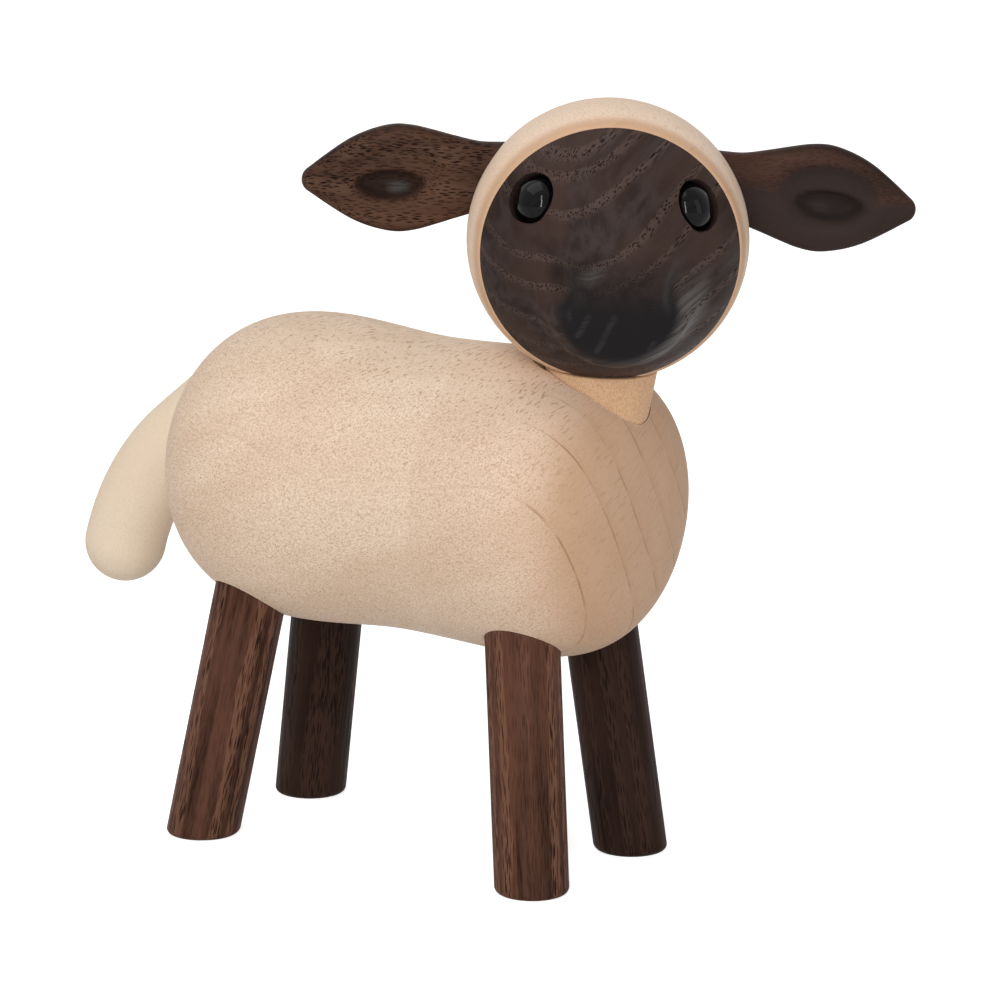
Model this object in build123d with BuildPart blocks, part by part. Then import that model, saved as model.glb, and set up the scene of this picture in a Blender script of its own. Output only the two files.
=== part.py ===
"""Turned wooden sheep on four dowel legs, with a head that turns on its neck peg.

Millimetres. +X is the way the body faces, +Y is the sheep's left, +Z is up, and the origin is on the
ground, midway between the feet. The head is drawn turned to the sheep's right.
"""

import os
from math import asin, atan2, cos, degrees, radians, sin, sqrt, tan

from build123d import *

# Fits
glue_gap = 0.05
running_clearance = 0.06
head_seat_gap = 0.15
head_relief_clearance = 0.5
peg_end_gap = 0.5

# Body: a barrel turned about an axis that dips a little towards the front
body_axis_height = 50.4
body_nose_down = 1.3
body_rear_length = 35.4
body_front_length = 36.9
body_rear_radius = 21.1
body_front_radius = 20.5
body_waist_depth = 0.8
rear_cap_length = 20.3
front_cap_length = 16.3
rear_cap_fullness = 0.67
front_cap_fullness = 0.74

# Legs: plain dowels, splayed outwards and let into the underside of the body
leg_diameter = 10.0
leg_seat_below_axis = 9.5
sole_rounding = 0.9
front_foot_from_end = 10.1
front_foot_y = 12.6
front_leg_rake = 6.1
front_leg_splay = 5.1
rear_foot_from_end = 8.6
rear_foot_y = 13.0
rear_leg_rake = -10.1
rear_leg_splay = 5.6

# Tail: a bent finger let into the rear of the body
tail_diameter = 11.4
tail_root_above_axis = 4.4
tail_root_inset = 0.5
tail_root_angle = 51.0
tail_tip_angle = 15.0
tail_bend_radius = 31.5
tail_tenon_length = 9.0
tail_straight_length = 5.0

# Neck: a tapered plug let into the front shoulder, with the peg that the head turns on
neck_from_end = 7.7
neck_top_below_barrel = 1.1
neck_lean = 3.0
neck_top_radius = 7.45
neck_half_angle = 8.0
neck_length = 10.0
peg_diameter = 6.0
peg_in_neck = 7.5
peg_in_head = 11.5

# Head: a ball with a flat underneath and a flat in front that carries the face
head_turn = -56.0
ball_radius = 18.5
ball_flat_radius = 7.5
ball_rim_rounding = 0.8
face_pitch = 4.8
face_seat_from_centre = 7.3
face_step = 0.15
face_dowel_diameter = 5.0
face_dowel_length = 12.0

# Muzzle: a short round stub on the face, aimed lower than the face itself; root and end
# fullness are the shares of the stub's wall that its two fillets take up
muzzle_drop_angle = 9.0
muzzle_standing_out = 3.25
muzzle_root_radius = 8.9
muzzle_end_radius = 7.9
muzzle_bulge = 1.1
muzzle_root_fullness = 0.39
muzzle_end_fullness = 0.52
bridge_radius = 6.0
bridge_brow_angle = 50.0
bridge_inset = 0.3

# Eyes: beads with a flat back, sunk in round sockets that point out from the middle of the ball
eye_diameter = 6.0
eye_flat_behind_centre = 1.2
eye_socket_diameter = 7.5
eye_sink = 0.1
eye_elevation = 24.0
eye_azimuth = 41.0

# Ears: leaves with a scooped front, seated on the sides of the ball
ear_rise = 7.2
ear_setback = 2.6
left_ear_droop = 5.1
right_ear_droop = 3.6
ear_length = 23.5
ear_width = 14.1
ear_root_width = 8.8
ear_widest_from_root = 11.0
ear_tip_half_angle = 44.0
ear_tip_radius = 2.0
ear_tip_fullness = 0.28
ear_thickness = 5.0
ear_edge_rounding = 1.7
scoop_from_root = 12.0
scoop_length = 13.0
scoop_width = 6.6
scoop_depth = 1.6
ear_dowel_diameter = 2.5
ear_dowel_length = 8.0

# Planes and points that the pieces share
body_slope = tan(radians(body_nose_down))
body_frame = Plane(
    origin=(0, 0, body_axis_height),
    x_dir=(cos(radians(body_nose_down)), 0, -sin(radians(body_nose_down))),
    z_dir=(0, -1, 0),
)


def axis_height_at(x):
    """Height of the body's turning axis above the ground."""
    return body_axis_height - x * body_slope


neck_x = body_front_length - neck_from_end
neck_top = Plane(
    origin=(neck_x, 0, axis_height_at(neck_x) + body_front_radius - neck_top_below_barrel),
    x_dir=(cos(radians(neck_lean)), 0, -sin(radians(neck_lean))),
    z_dir=(sin(radians(neck_lean)), 0, cos(radians(neck_lean))),
)
ball_flat_drop = sqrt(ball_radius**2 - ball_flat_radius**2)
ball_flat = neck_top.offset(head_seat_gap)
head_frame = ball_flat.offset(ball_flat_drop).rotated((0, 0, head_turn))
head_centre = head_frame.origin
head_front = head_frame.x_dir
head_left = head_frame.y_dir
head_up = head_frame.z_dir


def head_direction(elevation, azimuth=0.0):
    """Direction from the middle of the ball, up from level and left from straight ahead."""
    level = head_front * cos(radians(azimuth)) + head_left * sin(radians(azimuth))
    return level * cos(radians(elevation)) + head_up * sin(radians(elevation))


face_normal = head_direction(-face_pitch)
face_seat = Plane(
    origin=head_centre + face_normal * face_seat_from_centre, x_dir=head_left, z_dir=face_normal
)
face_radius = ball_radius - face_step
muzzle_reach = face_radius + muzzle_standing_out
muzzle_axis = Axis(head_centre, head_direction(-face_pitch - muzzle_drop_angle))
eye_radius = eye_diameter / 2
eye_centre_distance = face_radius + eye_sink - eye_radius


def eye_plane(side):
    """Plane through the middle of a bead, facing out of its socket; side is 1 on the sheep's left."""
    outward = head_direction(eye_elevation, side * eye_azimuth)
    return Plane(origin=head_centre + outward * eye_centre_distance, x_dir=head_up, z_dir=outward)


def ear_plane(side):
    """Plane through the middle of an ear, with its origin where the ear's axis leaves the ball."""
    root_out = sqrt(ball_radius**2 - ear_rise**2 - ear_setback**2)
    root = head_centre + head_left * (side * root_out) + head_up * ear_rise - head_front * ear_setback
    droop = radians(left_ear_droop if side > 0 else right_ear_droop)
    along = head_left * (side * cos(droop)) - head_up * sin(droop)
    return Plane(origin=root, x_dir=along, z_dir=head_front)


def ear_dowel_plane(side):
    """Plane across an ear's dowel, at the dowel's end inside the ball."""
    leaf = ear_plane(side)
    return Plane(origin=leaf.origin - leaf.x_dir * (ear_dowel_length / 2), z_dir=leaf.x_dir)


def leg_plane(foot_x, side, foot_y, rake, splay):
    """Plane across a leg at the middle of its sole, facing up the leg."""
    up_leg = Vector(-tan(radians(rake)), -side * tan(radians(splay)), 1)
    return Plane(origin=(foot_x, side * foot_y, 0), x_dir=(1, 0, tan(radians(rake))), z_dir=up_leg)


def leg_reach(plane):
    """Length along a leg from its sole to its seat in the body."""
    seat_height = axis_height_at(plane.origin.X) - leg_seat_below_axis
    return seat_height / plane.z_dir.Z


front_foot_x = body_front_length - front_foot_from_end
rear_foot_x = rear_foot_from_end - body_rear_length
leg_planes = {
    "front_left_leg": leg_plane(front_foot_x, 1, front_foot_y, front_leg_rake, front_leg_splay),
    "front_right_leg": leg_plane(front_foot_x, -1, front_foot_y, front_leg_rake, front_leg_splay),
    "rear_left_leg": leg_plane(rear_foot_x, 1, rear_foot_y, rear_leg_rake, rear_leg_splay),
    "rear_right_leg": leg_plane(rear_foot_x, -1, rear_foot_y, rear_leg_rake, rear_leg_splay),
}
leg_radius = leg_diameter / 2
tail_radius = tail_diameter / 2
peg_radius = peg_diameter / 2

# The tail leaves the body at the level of the rear cap's end, and bends once it is clear of the body
tail_root = body_frame.from_local_coords((tail_root_inset - body_rear_length, tail_root_above_axis))
tail_direction = Vector(-sin(radians(tail_root_angle)), 0, -cos(radians(tail_root_angle)))
tail_start = Plane(
    origin=tail_root - tail_direction * tail_tenon_length, x_dir=(0, 1, 0), z_dir=tail_direction
)
tail_bend = tail_root + tail_direction * tail_straight_length

# Body
with BuildPart() as body:
    with BuildSketch(body_frame):
        with BuildLine():
            rear_pole = (-body_rear_length, 0)
            rear_shoulder = (rear_cap_length - body_rear_length, body_rear_radius)
            front_shoulder = (body_front_length - front_cap_length, body_front_radius)
            front_pole = (body_front_length, 0)
            waist = (
                (rear_shoulder[0] + front_shoulder[0]) / 2,
                (body_rear_radius + body_front_radius) / 2 - body_waist_depth,
            )
            Bezier(
                rear_pole,
                (-body_rear_length, rear_cap_fullness * body_rear_radius),
                (rear_shoulder[0] - rear_cap_fullness * rear_cap_length, body_rear_radius),
                rear_shoulder,
            )
            Spline(rear_shoulder, waist, front_shoulder, tangents=[(1, 0), (1, 0)])
            Bezier(
                front_shoulder,
                (front_shoulder[0] + front_cap_fullness * front_cap_length, body_front_radius),
                (body_front_length, front_cap_fullness * body_front_radius),
                front_pole,
            )
            Line(front_pole, rear_pole)
        make_face()
    revolve(axis=Axis(body_frame.origin, body_frame.x_dir))
    for plane in leg_planes.values():
        with BuildSketch(plane):
            Circle(leg_radius + glue_gap)
        extrude(amount=leg_reach(plane), mode=Mode.SUBTRACT)
    with BuildSketch(tail_start):
        Circle(tail_radius + glue_gap)
    extrude(amount=tail_tenon_length + tail_straight_length, mode=Mode.SUBTRACT)
    with BuildSketch(neck_top):
        Circle(neck_top_radius + glue_gap)
    extrude(amount=-neck_length, taper=neck_half_angle, mode=Mode.SUBTRACT)
    with Locations(head_centre):
        Sphere(ball_radius + head_relief_clearance, mode=Mode.SUBTRACT)

# Neck and its peg
with BuildPart() as neck:
    with BuildSketch(neck_top):
        Circle(neck_top_radius)
    extrude(amount=-neck_length, taper=neck_half_angle)
    with BuildSketch(neck_top):
        Circle(peg_radius + glue_gap)
    extrude(amount=-peg_in_neck, mode=Mode.SUBTRACT)

with BuildPart() as neck_peg:
    with BuildSketch(neck_top.offset(-peg_in_neck)):
        Circle(peg_radius)
    extrude(amount=peg_in_neck + peg_in_head)

# Ball of the head
with BuildPart(head_frame) as head_ball:
    Sphere(ball_radius)
    split(bisect_by=face_seat, keep=Keep.BOTTOM)
    fillet(head_ball.faces().filter_by(GeomType.PLANE).edges(), ball_rim_rounding)
    split(bisect_by=ball_flat, keep=Keep.TOP)
    with BuildSketch(ball_flat):
        Circle(peg_radius + running_clearance)
    extrude(amount=peg_in_head - head_seat_gap + peg_end_gap, mode=Mode.SUBTRACT)
    with BuildSketch(face_seat):
        Circle(face_dowel_diameter / 2 + glue_gap)
    extrude(amount=-face_dowel_length / 2, mode=Mode.SUBTRACT)
    for side in (1, -1):
        with BuildSketch(ear_dowel_plane(side)):
            Circle(ear_dowel_diameter / 2 + glue_gap)
        extrude(amount=ear_dowel_length, mode=Mode.SUBTRACT)
        with BuildSketch(eye_plane(side).offset(-eye_flat_behind_centre)):
            Circle(eye_socket_diameter / 2)
        extrude(amount=eye_diameter, mode=Mode.SUBTRACT)

# Face: the front of the ball in dark wood, turned about the muzzle's axis, with a round nose bridge
face_section = Plane(origin=head_centre, x_dir=muzzle_axis.direction, z_dir=-head_left)
root_angle = degrees(asin(muzzle_root_radius / face_radius))
muzzle_root = Vector(face_radius * cos(radians(root_angle)), muzzle_root_radius)
muzzle_edge = Vector(muzzle_reach - muzzle_bulge, muzzle_end_radius)
bulge_radius = (muzzle_end_radius**2 + muzzle_bulge**2) / (2 * muzzle_bulge)
bulge_angle = degrees(asin(muzzle_end_radius / bulge_radius))
muzzle_wall = muzzle_edge - muzzle_root
wall_angle = degrees(atan2(-muzzle_wall.Y, muzzle_wall.X))


def muzzle_fillet(share, corner_angle):
    """Radius of the fillet that takes up a share of the stub's wall."""
    turn = 90 - corner_angle - wall_angle
    return share * muzzle_wall.length / tan(radians(turn / 2))


muzzle_root_fillet = muzzle_fillet(muzzle_root_fullness, root_angle)
muzzle_end_fillet = muzzle_fillet(muzzle_end_fullness, bulge_angle)
brow_distance = face_radius - bridge_inset
brow = face_section.from_local_coords(
    (brow_distance * cos(radians(bridge_brow_angle)), brow_distance * sin(radians(bridge_brow_angle)))
)
nose = face_section.from_local_coords(
    (muzzle_reach - muzzle_bulge - muzzle_end_fillet / 2, muzzle_end_radius - bridge_inset)
)
bridge_line = (nose - brow).normalized()
bridge_depth = head_left.cross(bridge_line)
bridge_start = Plane(origin=brow + bridge_depth * bridge_radius, z_dir=bridge_line)

with BuildPart() as face:
    with BuildSketch(face_section) as profile:
        with BuildLine():
            CenterArc((0, 0), face_radius, 90, root_angle - 90)
            Line(muzzle_root, muzzle_edge)
            CenterArc((muzzle_reach - bulge_radius, 0), bulge_radius, bulge_angle, -bulge_angle)
            Line((muzzle_reach, 0), (0, 0))
            Line((0, 0), (0, face_radius))
        make_face()
        fillet(profile.vertices().sort_by_distance(muzzle_root)[0], muzzle_root_fillet)
        fillet(profile.vertices().sort_by_distance(muzzle_edge)[0], muzzle_end_fillet)
    revolve(axis=muzzle_axis)
    with BuildSketch(bridge_start):
        Circle(bridge_radius)
    extrude(amount=(nose - brow).length)
    split(bisect_by=face_seat, keep=Keep.TOP)
    split(bisect_by=ball_flat, keep=Keep.TOP)
    with BuildSketch(face_seat):
        Circle(face_dowel_diameter / 2 + glue_gap)
    extrude(amount=face_dowel_length / 2, mode=Mode.SUBTRACT)
    for side in (1, -1):
        with BuildSketch(eye_plane(side).offset(-eye_flat_behind_centre)):
            Circle(eye_socket_diameter / 2)
        extrude(amount=eye_diameter, mode=Mode.SUBTRACT)

with BuildPart() as face_dowel:
    with BuildSketch(face_seat.offset(-face_dowel_length / 2)):
        Circle(face_dowel_diameter / 2)
    extrude(amount=face_dowel_length)


# Eyes, ears and ear dowels, one of each on either side
def make_eye(side):
    """Bead with a flat back, standing on the floor of its socket."""
    with BuildPart(eye_plane(side)) as eye:
        Sphere(eye_radius)
        split(bisect_by=eye_plane(side).offset(-eye_flat_behind_centre), keep=Keep.TOP)
    return eye.part


def make_ear(side):
    """Leaf-shaped ear, scooped in front and hollowed at its root to sit on the ball."""
    leaf = ear_plane(side)
    half_root = ear_root_width / 2
    half_width = ear_width / 2
    hidden_root = ball_radius / 4
    apex = ear_length + ear_tip_radius * (1 / sin(radians(ear_tip_half_angle)) - 1)
    tip_control = ear_tip_fullness * (apex - ear_widest_from_root)
    tip_slope = tan(radians(ear_tip_half_angle))
    scoop_axis_height = ((scoop_width / 2) ** 2 - scoop_depth**2) / (2 * scoop_depth)
    with BuildPart() as ear:
        with BuildSketch(leaf.offset(-ear_thickness / 2)) as outline:
            with BuildLine():
                Line((-hidden_root, 0), (-hidden_root, half_root))
                Line((-hidden_root, half_root), (0, half_root))
                Bezier(
                    (0, half_root),
                    (ear_widest_from_root / 2, half_root),
                    (ear_widest_from_root / 2, half_width),
                    (ear_widest_from_root, half_width),
                )
                Bezier(
                    (ear_widest_from_root, half_width),
                    (ear_widest_from_root + tip_control, half_width),
                    (apex - tip_control, tip_control * tip_slope),
                    (apex, 0),
                )
                mirror(about=Plane.XZ)
            make_face()
            fillet(outline.vertices().sort_by_distance((apex, 0))[0], ear_tip_radius)
        extrude(amount=ear_thickness)
        flats = ear.faces().filter_by(GeomType.PLANE).sort_by(SortBy.AREA)[-2:]
        fillet(flats.edges(), ear_edge_rounding)
        with BuildSketch(Plane(leaf.origin + leaf.z_dir * (ear_thickness / 2), leaf.x_dir, leaf.y_dir)):
            with BuildLine():
                scoop_start = (scoop_from_root - scoop_length / 2, -scoop_axis_height)
                scoop_end = (scoop_from_root + scoop_length / 2, -scoop_axis_height)
                scoop_floor = (scoop_from_root, scoop_depth)
                ThreePointArc(scoop_start, scoop_floor, scoop_end)
                Line(scoop_end, scoop_start)
            make_face()
        scoop_line = leaf.origin + leaf.z_dir * (ear_thickness / 2 + scoop_axis_height)
        revolve(axis=Axis(scoop_line, leaf.x_dir), mode=Mode.SUBTRACT)
        with Locations(head_centre):
            Sphere(ball_radius + glue_gap, mode=Mode.SUBTRACT)
        with BuildSketch(ear_dowel_plane(side)):
            Circle(ear_dowel_diameter / 2 + glue_gap)
        extrude(amount=ear_dowel_length, mode=Mode.SUBTRACT)
    return ear.part


def make_ear_dowel(side):
    """Short pin, half in the ball and half in the ear."""
    with BuildPart() as dowel:
        with BuildSketch(ear_dowel_plane(side)):
            Circle(ear_dowel_diameter / 2)
        extrude(amount=ear_dowel_length)
    return dowel.part


# Tail
with BuildPart() as tail:
    with BuildLine(Plane.XZ) as tail_path:
        straight = Line((tail_start.origin.X, tail_start.origin.Z), (tail_bend.X, tail_bend.Z))
        JernArc(straight @ 1, straight % 1, tail_bend_radius, tail_root_angle - tail_tip_angle)
    with BuildSketch(tail_start):
        Circle(tail_radius)
    sweep()
    with Locations(tail_path.line @ 1):
        Sphere(tail_radius)


def make_leg(plane):
    """Dowel leg, sawn level at the sole and rounded round its edge."""
    with BuildPart() as leg:
        with BuildSketch(plane):
            Circle(leg_radius)
        extrude(amount=leg_reach(plane))
        with BuildSketch(plane):
            Circle(leg_radius)
        extrude(amount=-leg_diameter)
        split(bisect_by=Plane.XY, keep=Keep.TOP)
        fillet(leg.faces().sort_by(Axis.Z)[0].edges(), sole_rounding)
    return leg.part


pieces = {
    "body": body.part,
    "neck": neck.part,
    "neck_peg": neck_peg.part,
    "tail": tail.part,
    "head_ball": head_ball.part,
    "face": face.part,
    "face_dowel": face_dowel.part,
    "left_eye": make_eye(1),
    "right_eye": make_eye(-1),
    "left_ear": make_ear(1),
    "right_ear": make_ear(-1),
    "left_ear_dowel": make_ear_dowel(1),
    "right_ear_dowel": make_ear_dowel(-1),
}
for leg_name, plane in leg_planes.items():
    pieces[leg_name] = make_leg(plane)

os.makedirs("parts", exist_ok=True)
for piece_name, piece in pieces.items():
    piece.label = piece_name
    export_step(piece, f"parts/{piece_name}.step")
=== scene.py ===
"""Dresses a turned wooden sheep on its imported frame: its pieces, finishes, studio and camera.

Sizes are in millimetres and are turned into metres where a mesh is made. +X is the way the body
faces, +Y is the sheep's left and +Z is up. Every wooden piece carries a vector attribute named
"grain": its place in its own block of wood, with the pith on the third axis.
"""

from __future__ import annotations

import logging
import math
from collections.abc import Sequence
from dataclasses import dataclass, field
from enum import Enum

import bmesh
import bpy
import numpy as np
from bpy.types import Material, Node, NodeSocket, NodeTree, Object
from mathutils import Matrix, Vector

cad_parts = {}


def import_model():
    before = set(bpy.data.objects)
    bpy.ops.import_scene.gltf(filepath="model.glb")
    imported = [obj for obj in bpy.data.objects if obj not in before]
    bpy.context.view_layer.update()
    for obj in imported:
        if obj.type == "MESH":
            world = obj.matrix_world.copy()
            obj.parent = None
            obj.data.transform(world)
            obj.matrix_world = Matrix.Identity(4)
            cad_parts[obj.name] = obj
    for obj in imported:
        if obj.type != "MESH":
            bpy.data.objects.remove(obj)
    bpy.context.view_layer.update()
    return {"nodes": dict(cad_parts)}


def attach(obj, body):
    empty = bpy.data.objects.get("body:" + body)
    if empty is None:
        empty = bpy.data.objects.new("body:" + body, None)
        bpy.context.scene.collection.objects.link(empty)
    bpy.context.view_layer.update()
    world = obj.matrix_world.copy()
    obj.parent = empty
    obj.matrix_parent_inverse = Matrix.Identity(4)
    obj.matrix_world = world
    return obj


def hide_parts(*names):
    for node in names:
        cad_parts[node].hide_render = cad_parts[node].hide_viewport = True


LOG = logging.getLogger("sheep")
MM = 0.001
QUARTER = math.pi / 2

# Names of the values that pieces carry at their corners

GRAIN = "grain"
# End grain, and painted shade on the ball's rim and the body's front
END_GRAIN_AND_SHADE = "end_grain_and_shade"
# Wear with painted shade: smoother parts with fewer pores, toned dark for their shade
WEAR_AND_SHADE = "wear_and_shade"
# Painted highlights, and a few pale marks on the face's pad
HIGHLIGHT_AND_MARKS = "pale"
# Painted shade in sockets, hollows, and on the ears' edges and roots
PAINTED_SHADE = "deep"
RAYS = "rays"

BORE_COLUMNS = 160
Array = np.ndarray
Colour = tuple[float, float, float]


class Body(Enum):
    """The two bodies that pieces ride on."""

    SHEEP = "sheep_body"
    HEAD = "head"


class Side(Enum):
    """Side of the sheep, with its sign along the sheep's left."""

    LEFT = 1
    RIGHT = -1


# Small helpers for vectors and colours


def unit(vector: Sequence[float]) -> Array:
    """The vector at length 1."""
    v = np.asarray(vector, float)
    return v / np.linalg.norm(v)


def tone(red: int, green: int, blue: int) -> Colour:
    """Scene-linear colour from screen values of 0 to 255."""
    out = []
    for value in (red, green, blue):
        c = value / 255
        out.append(c / 12.92 if c <= 0.04045 else ((c + 0.055) / 1.055) ** 2.4)
    return (out[0], out[1], out[2])


def smooth(low: float, high: float, values: Array) -> Array:
    """Smooth step from 0 at low to 1 at high."""
    t = np.clip((values - low) / (high - low), 0, 1)
    return t * t * (3 - 2 * t)


def blend_max(a: Array, b: Array, width: float) -> Array:
    """Larger of two fields, rounded where they cross."""
    h = np.clip(0.5 + 0.5 * (a - b) / width, 0, 1)
    return b + (a - b) * h + width * h * (1 - h)


def blend_min(a: Array, b: Array, width: float) -> Array:
    """Smaller of two fields, rounded where they cross."""
    return -blend_max(-a, -b, width)


def segment_gap(p: Array, start: Sequence[float], end: Sequence[float]) -> tuple[Array, Array]:
    """Distance of points from a straight piece of line, and how far along it they are, from 0 to 1."""
    line = np.subtract(end, start)
    t = np.clip((p - start) @ line / (line @ line), 0, 1)
    return np.linalg.norm(p - start - t[:, None] * line, axis=1), t


def rod(low: float, high: float, radius: float, end_radius: float | None = None) -> Array:
    """Profile of a closed rod from one height to another, which may taper to another radius."""
    last = radius if end_radius is None else end_radius
    return np.array([(low, 0), (low, radius), (high, last), (high, 0)])


def disc(height: float, start: float, end: float, count: int) -> Array:
    """Profile of a flat disc at a height, from one radius to another."""
    radii = np.linspace(start, end, count)
    return np.stack([np.full_like(radii, height), radii], axis=1)


def arc(
    turn: tuple[float, float], count: int, up: float, out: float, height: float = 0.0, radius: float = 0.0
) -> Array:
    """Profile of an arc.

    Args:
        turn: Its first and last angle, up from level.
        count: How many points to give.
        up: Its reach along the axis.
        out: Its reach away from the axis.
        height: Its middle's height.
        radius: Its middle's distance from the axis.

    Returns:
        Rows of height and radius.
    """
    angles = np.linspace(*turn, count)
    return np.stack([height + up * np.sin(angles), radius + out * np.cos(angles)], axis=1)


def bezier(control: Sequence[tuple[float, float]], count: int) -> Array:
    """Points of a cubic Bezier curve.

    Args:
        control: Its four control points.
        count: How many points to give.

    Returns:
        An array of count rows.
    """
    p = np.asarray(control, float)
    t = np.linspace(0, 1, count)[:, None]
    return (1 - t) ** 3 * p[0] + 3 * t * (1 - t) ** 2 * p[1] + 3 * t**2 * (1 - t) * p[2] + t**3 * p[3]


@dataclass(frozen=True)
class Axes:
    """A place with three axes, for building a piece where it belongs."""

    origin: Array
    x: Array
    y: Array
    z: Array

    def out(self, points: Array) -> Array:
        """Points given on these axes, in the sheep's frame."""
        basis = np.stack([self.x, self.y, self.z])
        return self.origin + np.asarray(points, float) @ basis

    def into(self, points: Array) -> Array:
        """Points of the sheep's frame, on these axes."""
        basis = np.stack([self.x, self.y, self.z])
        return (np.asarray(points, float) - self.origin) @ basis.T


def axes_along(origin: Sequence[float], z: Sequence[float], hint: Sequence[float]) -> Axes:
    """Axes with a given third axis, and the first as near to a hint as it can be."""
    third = unit(z)
    first = unit(np.asarray(hint, float) - third * np.dot(hint, third))
    return Axes(np.asarray(origin, float), first, np.cross(third, first), third)


# Meshes


def linked(name: str, data: bpy.types.ID) -> Object:
    """A new object in the scene, at the origin."""
    obj = bpy.data.objects.new(name, data)
    bpy.context.scene.collection.objects.link(obj)
    return obj


def face_outwards(mesh: bpy.types.Mesh, weld: float = 0.0) -> None:
    """Turn a mesh's faces outwards, and weld corners that are closer than a distance in metres."""
    work = bmesh.new()
    work.from_mesh(mesh)
    if weld:
        bmesh.ops.remove_doubles(work, verts=work.verts, dist=weld)
    bmesh.ops.recalc_face_normals(work, faces=work.faces)
    work.to_mesh(mesh)
    work.free()


def mesh_object(name: str, points: Array, faces: Sequence[Sequence[int]]) -> Object:
    """A linked, smooth-shaded mesh object at the origin.

    Args:
        name: The piece's name.
        points: Its corners in millimetres, in the sheep's frame.
        faces: The corner numbers of each face.

    Returns:
        The new object.
    """
    mesh = bpy.data.meshes.new(name)
    mesh.from_pydata((np.asarray(points) * MM).tolist(), [], [list(f) for f in faces])
    face_outwards(mesh)
    mesh.polygons.foreach_set("use_smooth", [True] * len(mesh.polygons))
    return linked(name, mesh)


def skin(name: str, rings: Array, first: Sequence[float], last: Sequence[float]) -> Object:
    """Closed surface through rings of points, with a point at either end.

    Args:
        name: The piece's name.
        rings: Array of rings by points by 3, in millimetres.
        first: Point that closes the first ring.
        last: Point that closes the last ring.

    Returns:
        The new object.
    """
    rows, columns = rings.shape[:2]
    points = np.vstack([rings.reshape(-1, 3), [first, last]])
    start, end = rows * columns, rows * columns + 1
    faces: list[tuple[int, ...]] = []
    for j in range(columns):
        k = (j + 1) % columns
        faces.append((start, k, j))
        faces.append((end, (rows - 1) * columns + j, (rows - 1) * columns + k))
        for i in range(rows - 1):
            faces.append((i * columns + j, i * columns + k, (i + 1) * columns + k, (i + 1) * columns + j))
    return mesh_object(name, points, faces)


def turned(name: str, place: Axes, profile: Array, columns: int) -> Object:
    """Surface of revolution about the third axis of a place.

    Args:
        name: The piece's name.
        place: Where it stands.
        profile: Rows of height and radius; the first and last rows lie on the axis.
        columns: Points round each ring.

    Returns:
        The new object.
    """
    turn = np.linspace(0, 2 * math.pi, columns, endpoint=False)
    inner = profile[1:-1]
    rings = np.empty((len(inner), columns, 3))
    rings[:, :, 0] = inner[:, 1:2] * np.cos(turn)
    rings[:, :, 1] = inner[:, 1:2] * np.sin(turn)
    rings[:, :, 2] = inner[:, 0:1]
    ends = place.out(np.array([[0, 0, profile[0, 0]], [0, 0, profile[-1, 0]]]))
    return skin(name, place.out(rings), ends[0], ends[1])


def evaluated(obj: Object) -> bpy.types.Mesh:
    """A new mesh with the result of an object's modifiers."""
    graph = bpy.context.evaluated_depsgraph_get()
    return bpy.data.meshes.new_from_object(obj.evaluated_get(graph))


def cut(obj: Object, tools: Sequence[Object]) -> None:
    """Cut shapes out of a piece, and remove the shapes."""
    for tool in tools:
        modifier = obj.modifiers.new("cut", "BOOLEAN")
        modifier.operation = "DIFFERENCE"
        modifier.solver = "MANIFOLD"
        modifier.object = tool
    made, old = evaluated(obj), obj.data
    obj.modifiers.clear()
    obj.data = made
    made.name = obj.name
    bpy.data.meshes.remove(old)
    for tool in tools:
        data = tool.data
        bpy.data.objects.remove(tool)
        bpy.data.meshes.remove(data)


def crisp(obj: Object, degrees: float) -> None:
    """Shade smooth, with sharp edges where faces meet at more than an angle."""
    mesh = obj.data
    mesh.polygons.foreach_set("use_smooth", [True] * len(mesh.polygons))
    mesh.set_sharp_from_angle(angle=math.radians(degrees))


def corners(obj: Object) -> Array:
    """A piece's mesh corners in millimetres."""
    flat = np.empty(len(obj.data.vertices) * 3)
    obj.data.vertices.foreach_get("co", flat)
    return flat.reshape(-1, 3) / MM


def normals(obj: Object) -> Array:
    """The directions that a piece's mesh corners face."""
    flat = np.empty(len(obj.data.vertices) * 3, np.float32)
    obj.data.vertex_normals.foreach_get("vector", flat)
    return flat.reshape(-1, 3)


def mark_grain(obj: Object, block: Axes, drift: Array | float = 0.0) -> None:
    """Store each corner's place in its block of wood, and how far it is cut along rays and across ends.

    Args:
        obj: The piece.
        block: The block's axes: the pith lies along the third.
        drift: How far the rings are drawn aside along the first axis, at each corner.
    """
    values = block.into(corners(obj))
    values[:, 0] += drift
    attribute = obj.data.attributes.new(GRAIN, "FLOAT_VECTOR", "POINT")
    attribute.data.foreach_set("vector", values.astype(np.float32).ravel())
    facing = normals(obj)
    outwards = values[:, :1] * block.x + values[:, 1:2] * block.y
    outwards = outwards / np.maximum(np.linalg.norm(outwards, axis=1), 0.001)[:, None]
    mark_value(obj, RAYS, 1 - np.sum(facing * outwards, axis=1) ** 2)
    mark_value(obj, END_GRAIN_AND_SHADE, (facing @ block.z) ** 2)


def mark_value(obj: Object, name: str, values: Array) -> None:
    """Store one number at each corner of a piece."""
    attribute = obj.data.attributes.get(name) or obj.data.attributes.new(name, "FLOAT", "POINT")
    attribute.data.foreach_set("value", np.asarray(values, np.float32))


def place_piece(obj: Object, body: Body, node: str, material: Material) -> Object:
    """Dress a piece and let it stand for its CAD node.

    Args:
        obj: The piece.
        body: The body that it rides on.
        node: The CAD node that it stands for.
        material: Its finish.

    Returns:
        The same object.
    """
    obj.data.materials.clear()
    obj.data.materials.append(material)
    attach(obj, body.value)
    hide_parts(node)
    LOG.info("%s: %d corners for node %s", obj.name, len(obj.data.vertices), node)
    return obj


# Node trees

Term = object


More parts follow.
